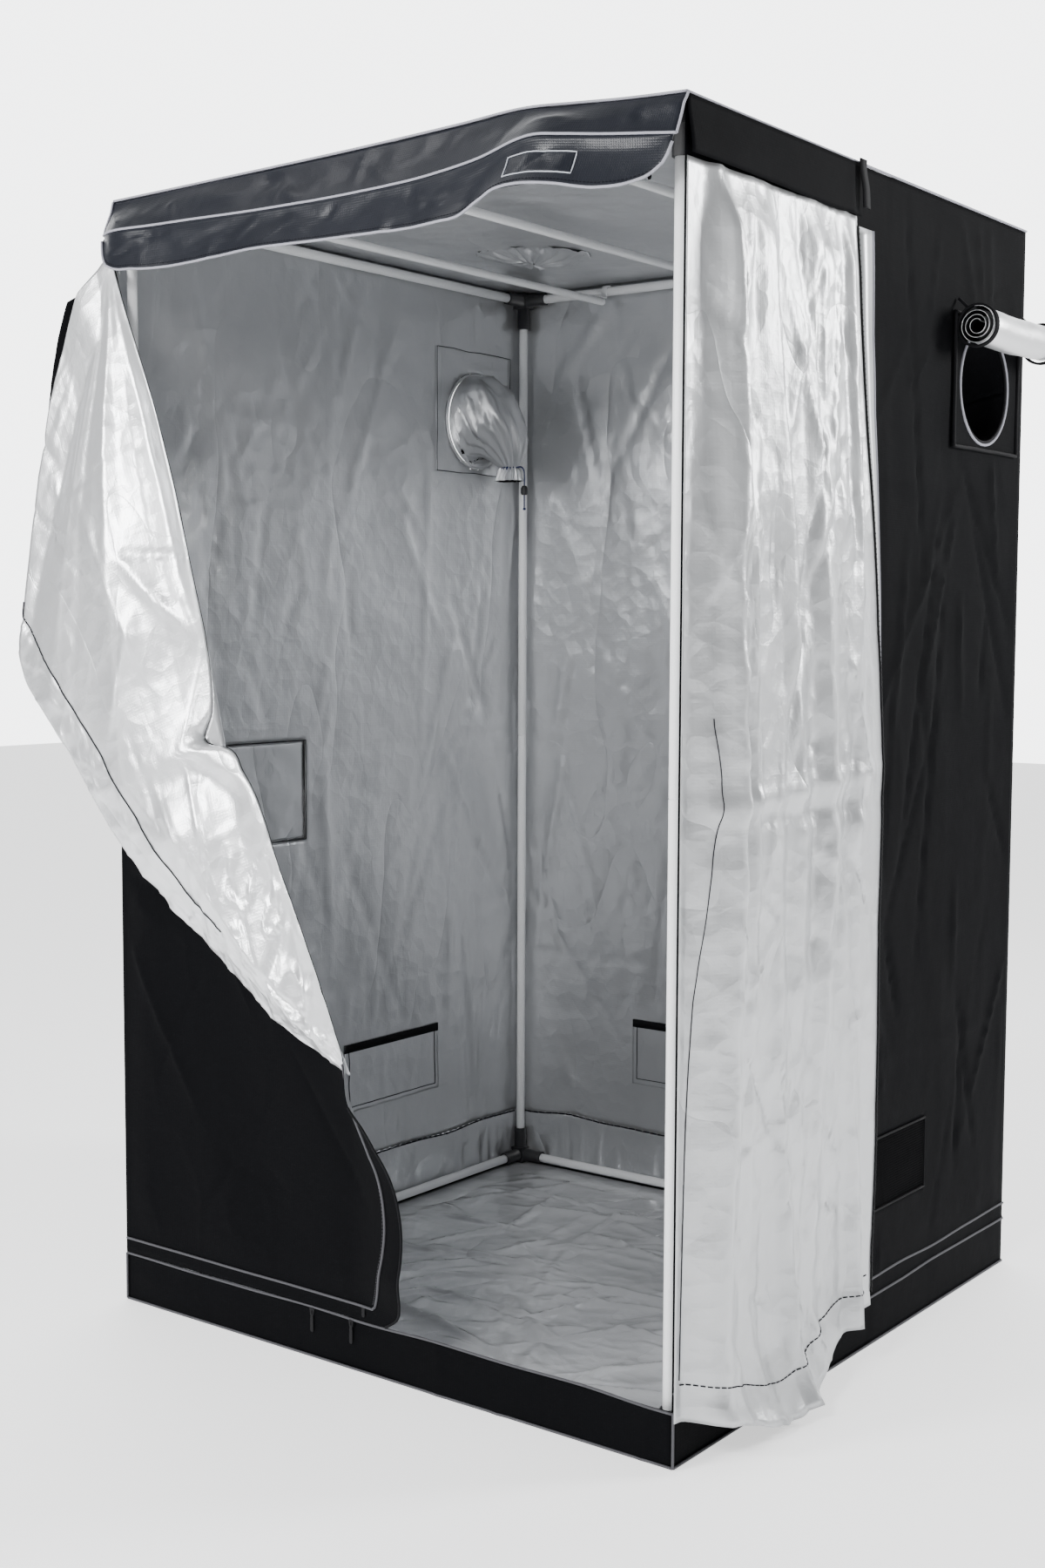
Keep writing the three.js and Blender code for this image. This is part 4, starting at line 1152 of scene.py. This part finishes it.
def make_header_zip():
    """The zip behind the header flap: a tape with a row of teeth along it."""
    low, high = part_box("header_zip_tape")
    x, z = np.meshgrid(lines(low.x, high.x, 0.011), np.linspace(low.z, high.z, 4))
    y = low.y + 0.0004 * noise(x * 9, z * 9, 941)
    piece = cloth("header_zip_cloth", np.stack([x, y, z], axis=-1), x, z, TAPE_CLOTH, TAPE_CLOTH, FRONT)
    finish_cloth(piece, "shell", "skin_black", ["header_zip_tape"])
    teeth = []
    middle = (low.z + high.z) / 2
    for n, at in enumerate(np.arange(low.x + 0.004, high.x - 0.004, 0.0034)):
        shift = 0.0012 * (-1) ** n
        a = np.array((at, low.y - 0.0009, middle + shift - 0.0014))
        b = np.array((at, low.y - 0.0009, middle + shift + 0.0014))
        teeth.append(tube_mesh([a, b], 0.0009, 5))
    points, faces = merged(teeth)
    settle(new_piece("header_zip_teeth", points, faces, [METAL]), "shell", "slider_metal")


def make_side_band():
    """The header's return along the roof's right edge, over the top of the right door."""
    y, z = np.meshgrid(lines(-HALF - 0.004, -0.075, 0.01), np.linspace(1.914, TALL - 0.002, 12))
    low = step(1.998 - z, 0, 0.084)
    out = 0.009 * low * step(-0.075 - y, 0, 0.04) + 0.0025 * noise(y * 8, z * 12, 951) * low
    z = z - 0.006 * noise(y * 5, y * 0, 952) * low
    points = np.stack([HALF + 0.002 + np.abs(out) + 0.002, y, z], axis=-1)
    piece = cloth("header_side_band", points, y, z, BLACK, BLACK, RIGHT)
    finish_cloth(piece, "shell", "skin_black", [])


def make_strap():
    """The short strap that holds the right door up at its top edge."""
    low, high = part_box("right_door_strap")
    middle = (low.y + high.y) / 2
    z = np.linspace(1.925, TALL + 0.004, 26)
    x = HALF + 0.0175 + 0.001 * np.sin(z * 60) - 0.008 * step(z, 1.95, 2.0)
    left = np.stack([x, middle - 0.011 + 0 * z, z], axis=-1)
    right = np.stack([x, middle + 0.011 + 0 * z, z], axis=-1)
    points, faces = strip_mesh(left, right, -0.0022)
    settle(new_piece("right_door_strap_webbing", points, faces, [TAPE]), "shell", "skin_black",
           "right_door_strap")


# ---------------------------------------------------------------- vents, window and ports
def make_vent(side, place, seed):
    """A net in the wall, and inside it a cover with a hook strip along its top."""
    start, end = vent_span(f"{side}_vent_mesh")
    strands = []
    pitch = 0.0045
    for s in np.arange(start + pitch / 2, end, pitch):
        strands.append(np.array([place(s, z, 0.0004) for z in (VENT_LOW, VENT_HIGH)]))
    for z in np.arange(VENT_LOW + pitch / 2, VENT_HIGH, pitch):
        strands.append(np.array([place(s, z, -0.0006) for s in (start, end)]))
    settle(tubes(f"{side}_vent_net", strands, 0.0006, NET, 4), "shell", "vent_mesh", f"{side}_vent_mesh")
    border = [(start, VENT_LOW), (end, VENT_LOW), (end, VENT_HIGH), (start, VENT_HIGH), (start, VENT_LOW)]
    path = np.concatenate([
        np.linspace(place(*a, 0.0015), place(*b, 0.0015), 12) for a, b in zip(border, border[1:])])
    settle(tubes(f"{side}_vent_binding", [path], 0.0022, TAPE, 6), "shell", "trim_grey")

    low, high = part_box(f"{side}_vent_cover")
    s, z = np.meshgrid(lines(start - 0.01, end + 0.01, 0.008), lines(low.z, high.z, 0.008))
    loose = step(high.z - z, 0.018, 0.035)
    lift = 0.0028 + loose * (0.002 * np.abs(noise(s * 14, z * 12, seed)) + 0.0012 * ridges(s * 22, z * 20,
                                                                                           seed + 1))
    points = np.array([[place(s[i, j], z[i, j], -0.001 - lift[i, j]) for j in range(s.shape[1])]
                       for i in range(s.shape[0])])
    inward = place(0, 0, -1) - place(0, 0, 0)
    piece = cloth(f"{side}_vent_cover_cloth", points, s, z, SILVER, BLACK, inward, thickness=0.0008)
    finish_cloth(piece, f"{side}_vent_cover", "skin_silver", [f"{side}_vent_cover"])
    ss = np.linspace(0.0, 1.0, 40)
    edge_low = on_grid(points, ss, 0.88 + 0 * ss, 0.0008, inward)
    edge_high = on_grid(points, ss, 1.0 + 0 * ss, 0.0008, inward)
    strip, faces = strip_mesh(edge_low, edge_high, 0.004)
    settle(new_piece(f"{side}_vent_hook_strip", strip, faces, [TAPE]), f"{side}_vent_cover", "skin_black")
    outline = np.concatenate([on_grid(points, 0.04 + 0 * ss, 0.88 - ss * 0.8, 0.0007, inward),
                              on_grid(points, 0.04 + ss * 0.92, 0.08 + 0 * ss, 0.0007, inward),
                              on_grid(points, 0.96 + 0 * ss, 0.08 + ss * 0.8, 0.0007, inward)])
    settle(tubes(f"{side}_vent_cover_stitch", [outline], 0.0009, THREAD, 5), f"{side}_vent_cover",
           "trim_grey")


def make_window():
    """The left wall's window: silvery with a thin outline inside, dark with a taped edge outside."""
    start, end, low, high = WINDOW
    s, z = np.meshgrid(lines(start + 0.0003, end - 0.0003, 0.01), lines(low + 0.0003, high - 0.0003, 0.01))
    bow = 0.0018 * noise(s * 9, z * 7, 961)
    points = np.stack([-HALF + 0.0002 + bow, s, z], axis=-1)[:, ::-1]
    piece = cloth("left_window_film", points, s, z, FILM_CLOTH, FILM, RIGHT, thickness=0.0008)
    finish_cloth(piece, "shell", "window_film", ["left_window_pane"])
    corners = [(start, low), (end, low), (end, high), (start, high), (start, low)]
    inside = np.concatenate([np.linspace((-0.5965, a[0], a[1]), (-0.5965, b[0], b[1]), 30)
                             for a, b in zip(corners, corners[1:])])
    settle(tubes("left_window_binding", [inside], 0.001, THREAD, 6), "shell", "trim_grey")
    outside = inside - np.array((0.007, 0, 0))
    settle(tubes("left_window_outer_binding", [outside], 0.0028, TAPE, 6), "shell", "trim_grey")


def rectangle_path(place, start, end, low, high, wave, seed):
    """A wavy stitched rectangle as one closed path."""
    corners = [(start, low), (end, low), (end, high), (start, high), (start, low)]
    path = []
    for (a, b), (c, d) in zip(corners, corners[1:]):
        for t in np.linspace(0, 1, 40)[:-1]:
            s, z = a + (c - a) * t, b + (d - b) * t
            path.append((s, z))
    path = np.array(path)
    shift = wave * noise(path[:, 0] * 20 + path[:, 1] * 13, path[:, 1] * 11, seed)
    return np.array([place(s + w, z - w, 0) for (s, z), w in zip(path, shift)])


def make_left_port():
    """The left port's sleeve: it hangs inside as a pouch, drawn to a neck by a cord with a lock on it."""
    inside = lambda s, z, out: np.array((-0.5945 + out, s, z))
    patch = rectangle_path(inside, 0.293, 0.549, 1.585, 1.85, 0.002, 971)
    settle(tubes("left_port_patch_stitch", [patch], 0.0008, THREAD, 5, closed=True), "shell", "trim_grey")
    a = np.linspace(0, 2 * math.pi, 65)[:-1]
    ring = np.stack([-0.5975 + 0 * a, LEFT_PORT[0] + 0.101 * np.cos(a), LEFT_PORT[1] + 0.101 * np.sin(a)], -1)
    settle(tubes("left_port_ring", [ring], 0.0035, SILVER, 8, closed=True), "shell", "skin_silver")
    outer = ring + np.array((-0.0045, 0, 0))
    settle(tubes("left_port_outer_ring", [outer], 0.0032, PIPING, 8, closed=True), "shell", "trim_grey")

    t, turn = np.meshgrid(np.linspace(0, 1, 60), np.linspace(0, 2 * math.pi, 113), indexing="ij")
    middle = curve_path(t, (-0.5925, 0.43, 1.7), (-0.566, 0.432, 1.697), (-0.55, 0.442, 1.672),
                        (-0.546, 0.464, 1.64),
                        (-0.548, 0.485, 1.606), (-0.55, 0.49, 1.597), (-0.551, 0.492, 1.572))
    radius = curve(t, (0, 0.1), (0.16, 0.094), (0.33, 0.074), (0.5, 0.046), (0.7, 0.02), (0.76, 0.0165),
                   (0.84, 0.021),
                   (1, 0.029))
    lean = curve(t, (0, 0), (0.16, 0.25), (0.33, 0.75), (0.5, 1.15), (0.7, 1.5), (1, 1.55))
    tight = step(t, 0.12, 0.6)
    pleats = 0.13 * tight * np.sin(turn * 15 + 2.2 * noise(t * 6, turn * 0, 972))
    pleats += 0.13 * noise(np.cos(turn) * 3 + 5, np.sin(turn) * 3 + t * 5, 973) * step(t, 0.04, 0.2)
    pleats += 0.07 * ridges(np.cos(turn) * 4 + 3, np.sin(turn) * 4 + t * 9, 974) * step(t, 0.04, 0.2)
    reach = radius * (1 + pleats)
    sideways, upward = reach * np.cos(turn), reach * np.sin(turn)
    points = middle + np.stack([upward * np.sin(lean), sideways, upward * np.cos(lean)], axis=-1)
    points[..., 0] = np.maximum(points[..., 0], -0.5935)
    from_axis = points - middle
    piece = cloth("left_port_sleeve_cloth", points, turn * 0.09, t * 0.26, SILVER, BLACK, from_axis,
                  thickness=0.0008)
    finish_cloth(piece, "port_sleeve", "skin_silver", ["left_port_sleeve"])
    make_drawstring()


DRAWSTRING = ((-0.532, 1.6), (-0.524, 1.602), (-0.515, 1.601), (-0.5095, 1.594), (-0.508, 1.582),
              (-0.508, 1.56), (-0.508, 1.535), (-0.508, 1.51))


def make_drawstring():
    path = smooth_path([(x, 0.49, z) for x, z in DRAWSTRING], 36)
    cord = tubes("drawstring_cord", [path], 0.0015, CORD, 10)
    settle(cord, "port_sleeve", "cord_blue", "left_port_drawstring")
    knot = new_knot("drawstring_knot", path[-1], 0.0038)
    settle(knot, "port_sleeve", "cord_blue")
    turns = []
    for k in range(3):
        a = np.linspace(0, 2 * math.pi, 41)[:-1]
        wide = 0.0178 + 0.0008 * np.sin(a * 5 + k)
        turns.append(np.stack([-0.55 + wide * np.cos(a), 0.49 + wide * np.sin(a),
                               1.597 + 0.0032 * k + 0 * a], -1))
    settle(tubes("drawstring_winding", turns, 0.0016, CORD, 8, closed=True), "port_sleeve", "cord_blue")
    lock = copied("left_port_cord_lock", "cord_lock_body", PLASTIC, 0)
    settle(lock, "cord_lock", "connector_plastic", "left_port_cord_lock")


def smooth_path(knots, count):
    """Evenly spaced points on a smooth curve through the knots."""
    knots = np.array(knots, float)
    gone = np.concatenate([[0], np.cumsum(np.linalg.norm(np.diff(knots, axis=0), axis=1))])
    fine = np.linspace(0, gone[-1], 400)
    dense = np.stack([curve(fine, *zip(gone, knots[:, k])) for k in range(3)], axis=-1)
    run = np.concatenate([[0], np.cumsum(np.linalg.norm(np.diff(dense, axis=0), axis=1))])
    even = np.linspace(0, run[-1], count)
    return np.stack([np.interp(even, run, dense[:, k]) for k in range(3)], axis=-1)


def new_knot(name, place, radius):
    """A small overhand knot as one closed trefoil tube."""
    a = np.linspace(0, 2 * math.pi, 61)[:-1]
    size = radius / 3
    path = np.stack([size * (np.sin(a) + 2 * np.sin(2 * a)) * 0.62,
                     size * (np.cos(a) - 2 * np.cos(2 * a)) * 0.62,
                     -size * np.sin(3 * a)], axis=-1) + np.array(place) - np.array((0, 0, 0.001))
    points, faces = tube_mesh(path, 0.0013, 8, closed=True)
    return new_piece(name, points, faces, [CORD])


def make_right_port():
    """The right port: a bound ring, a sewn patch with a dark border, and a sleeve that falls inward."""
    outside = lambda s, z, out: np.array((HALF + 0.0018 + out, s, z))
    a = np.linspace(0, 2 * math.pi, 73)[:-1]
    y, z = RIGHT_PORT[0] + 0.104 * np.cos(a), RIGHT_PORT[1] + 0.104 * np.sin(a)
    ring = np.stack([HALF + 0.0028 + 0 * a, y, z], axis=-1)
    piece = tubes("right_port_ring", [ring], 0.0026, PIPING, 10, closed=True)
    settle(piece, "shell", "trim_grey", "right_port_collar")
    inner = np.stack([HALF + 0.001 + 0 * a, RIGHT_PORT[0] + 0.099 * np.cos(a),
                      RIGHT_PORT[1] + 0.099 * np.sin(a)], -1)
    settle(tubes("right_port_binding", [inner], 0.003, TAPE, 8, closed=True), "shell", "trim_grey")

    s, h = np.meshgrid(lines(0.288, 0.572, 0.0095), lines(1.572, 1.815, 0.0095))
    keep = np.ones((s.shape[0] - 1, s.shape[1] - 1), bool)
    grow = open_round(s, h, keep, RIGHT_PORT, PORT_R)
    s, h = RIGHT_PORT[0] + (s - RIGHT_PORT[0]) * grow, RIGHT_PORT[1] + (h - RIGHT_PORT[1]) * grow
    bow = 0.0024 + 0.0008 * noise(s * 15, h * 15, 981)
    patch = cloth("right_port_patch", np.stack([HALF + bow, s, h], axis=-1), s, h, BLACK, BLACK, RIGHT, keep,
                  thickness=0.001)
    finish_cloth(patch, "shell", "skin_black", [])
    border = rectangle_path(outside, 0.292, 0.568, 1.576, 1.811, 0.001, 982) + np.array((0.0022, 0, 0))
    settle(tubes("right_port_patch_binding", [border], 0.0034, TAPE, 8, closed=True), "shell", "trim_grey")

    turn, t = np.meshgrid(np.linspace(0, 2 * math.pi, 73), np.linspace(0, 1, 22))
    radius = 0.0985 - 0.03 * t + 0.006 * t * noise(turn * 16 / (2 * math.pi) * 1.0, t * 3,
                                                   983) * np.sin(turn / 2) ** 2
    x = HALF - 0.0005 - 0.105 * t
    y = RIGHT_PORT[0] + radius * np.cos(turn)
    z = RIGHT_PORT[1] + radius * np.sin(turn) - 0.035 * t ** 1.5
    points = np.stack([x, y, z], axis=-1)
    to_axis = np.stack([0 * t, RIGHT_PORT[0] - y, RIGHT_PORT[1] - 0.035 * t ** 1.5 - z], axis=-1)
    sleeve = cloth("right_port_sleeve", points, turn * 0.1, t * 0.12, BLACK, SILVER, to_axis,
                   thickness=0.0008)
    finish_cloth(sleeve, "shell", "skin_silver", [])
    make_cover_roll()


def make_cover_roll():
    """The right port's cover, rolled up silver side out and held by an elastic band at each end."""
    low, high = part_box("right_port_cover_roll")
    middle, radius = (low + high) / 2, (high.x - low.x) / 2
    turns, cloth_gap = 3.1, 0.0078
    turn, y = np.meshgrid(np.linspace(0, turns * 2 * math.pi, 150),
                          np.linspace(low.y + 0.006, high.y - 0.006, 30))
    r = radius - 0.001 - (turns * 2 * math.pi - turn) / (2 * math.pi) * cloth_gap
    ends = np.minimum(y - low.y, high.y - y)
    r = r + 0.0012 * noise(y * 22, turn * 0.7, 991) - 0.0035 * np.exp(-(((ends - 0.022) / 0.008) ** 2))
    phase = 0.35 * math.pi
    x = middle.x + r * np.cos(turn + phase)
    z = middle.z + r * np.sin(turn + phase)
    z = z - 0.003 * np.sin(math.pi * (y - low.y) / (high.y - low.y))
    points = np.stack([x, y, z], axis=-1)
    from_axis = np.stack([x - middle.x, 0 * y, z - middle.z], axis=-1)
    # The roll's silver side carries painted light in its lighter base colour
    piece = cloth("right_port_cover_cloth", points, turn * 0.03, y, ROLL_SILVER_PAINTED_LIGHT, BLACK, from_axis)
    finish_cloth(piece, "shell", "skin_silver", ["right_port_cover_roll"])
    bands = []
    for at in (low.y + 0.012, high.y - 0.012):
        a = np.linspace(0, 2 * math.pi, 49)[:-1]
        for shift in (-0.0045, -0.0015, 0.0015, 0.0045):
            bands.append(np.stack([middle.x + (radius + 0.0005) * np.cos(a), at + shift + 0 * a,
                                   middle.z + (radius + 0.0005) * np.sin(a)], axis=-1))
    settle(tubes("right_port_cover_bands", bands, 0.0022, TAPE, 8, closed=True), "shell", "skin_black")
    hangers = []
    for at in (low.y + 0.012, high.y - 0.012):
        hangers.append(np.stack([np.linspace(HALF + 0.003, middle.x - radius * 0.5, 10),
                                 at + np.zeros(10), np.linspace(middle.z + 0.05, middle.z + radius * 0.88,
                                                                10)], -1))
    settle(tubes("right_port_cover_loops", hangers, 0.0028, TAPE, 6), "shell", "skin_black")


def make_roof_port():
    """The roof port's sleeve, gathered against the roof."""
    a = np.linspace(0, 2 * math.pi, 73)[:-1]
    low = roof_height(ROOF_PORT[0] + PORT_R * np.cos(a), ROOF_PORT[1] + PORT_R * np.sin(a))
    ring = np.stack([ROOF_PORT[0] + 0.103 * np.cos(a), ROOF_PORT[1] + 0.103 * np.sin(a), low + 0.002],
                    axis=-1)
    settle(tubes("roof_port_ring", [ring], 0.004, PIPING, 10, closed=True), "shell", "trim_grey")
    turn, t = np.meshgrid(np.linspace(0, 2 * math.pi, 97), np.linspace(0, 1, 26))
    radius = 0.108 * (1 - t) + 0.006
    pleats = 0.006 * np.sin(turn * 18 + 2 * noise(t * 5, turn * 0, 995)) * step(t, 0, 0.3) * (1 - 0.6 * t)
    rest = roof_height(ROOF_PORT[0] + 0.1 * np.cos(turn), ROOF_PORT[1] + 0.1 * np.sin(turn))
    z = rest - 0.0022 - 0.012 * step(t, 0.05, 0.7) + pleats
    points = np.stack([ROOF_PORT[0] + radius * np.cos(turn), ROOF_PORT[1] + radius * np.sin(turn), z],
                      axis=-1)
    piece = cloth("roof_port_sleeve_cloth", points, turn * 0.06, t * 0.1, BLACK, SILVER, UP, thickness=0.0008)
    finish_cloth(piece, "shell", "skin_silver", ["roof_port_sleeve"])


def make_sliders():
    """A zip slider for each of the sliding bodies: a rounded body, a bridge and a pull tab."""
    for node, body in (
        ("header_zip_slider_left", "header_slider_left"), ("header_zip_slider_right", "header_slider_right"),
        ("sill_zip_slider_left", "sill_slider_left"), ("sill_zip_slider_right", "sill_slider_right"),
        ("centre_zip_slider", "centre_slider"),
    ):
        low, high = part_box(node)
        x, y = (low.x + high.x) / 2, (low.y + high.y) / 2
        parts = []
        outline = [(-5.5, -1), (-3.4, -13), (3.4, -13), (5.5, -1), (2, 0), (-2, 0)]
        for depth in (-0.0016, 0.0008):
            parts.append(plate(outline, x, y + depth, high.z, 0.0011))
        bridge = np.stack([x + np.zeros(13), y - 0.0012 - 0.0012 * np.sin(np.linspace(0, math.pi, 13)),
                           high.z - 0.002 - np.linspace(0, 0.01, 13)], axis=-1)
        parts.append(tube_mesh(bridge, 0.0008, 8))
        tab = [(-2.2, -8), (2.2, -8), (3.4, -20), (3.4, -39), (2.2, -41.5), (-2.2, -41.5), (-3.4, -39),
               (-3.4, -20)]
        parts.append(plate(tab, x, y - 0.0019, high.z, 0.0009))
        points, faces = merged(parts)
        piece = new_piece(node + "_metal", points, faces, [METAL], smooth=False)
        bevel = piece.modifiers.new("rounded", "BEVEL")
        bevel.width, bevel.segments = 0.0003, 2
        settle(piece, body, "slider_metal", node)


def plate(outline, x, y, z, thickness):
    """A flat plate from an outline in millimetres."""
    count = len(outline)
    points = [(x + a / 1000, y + d, z + b / 1000) for d in (0, thickness) for a, b in outline]
    faces = [tuple(range(count)), tuple(range(count, 2 * count))[::-1]]
    faces += [(i, i + count, (i + 1) % count + count, (i + 1) % count) for i in range(count)]
    return points, faces


# ---------------------------------------------------------------- everything
make_camera()
make_studio()
make_frame()
make_walls()
make_roof()
make_floor()
make_skirts()
make_sill()
make_left_lower()
flap_points = make_left_flap()
make_left_corner(flap_points)
make_right_door()
make_header()
make_header_zip()
make_side_band()
make_strap()
make_vent("left", lambda s, z, out: np.array((-HALF - out, s, z)), 1001)
make_vent("right", lambda s, z, out: np.array((HALF + out, s, z)), 1011)
make_vent("back", lambda s, z, out: np.array((s, HALF + out, z)), 1021)
make_window()
make_left_port()
make_right_port()
make_roof_port()
make_sliders()
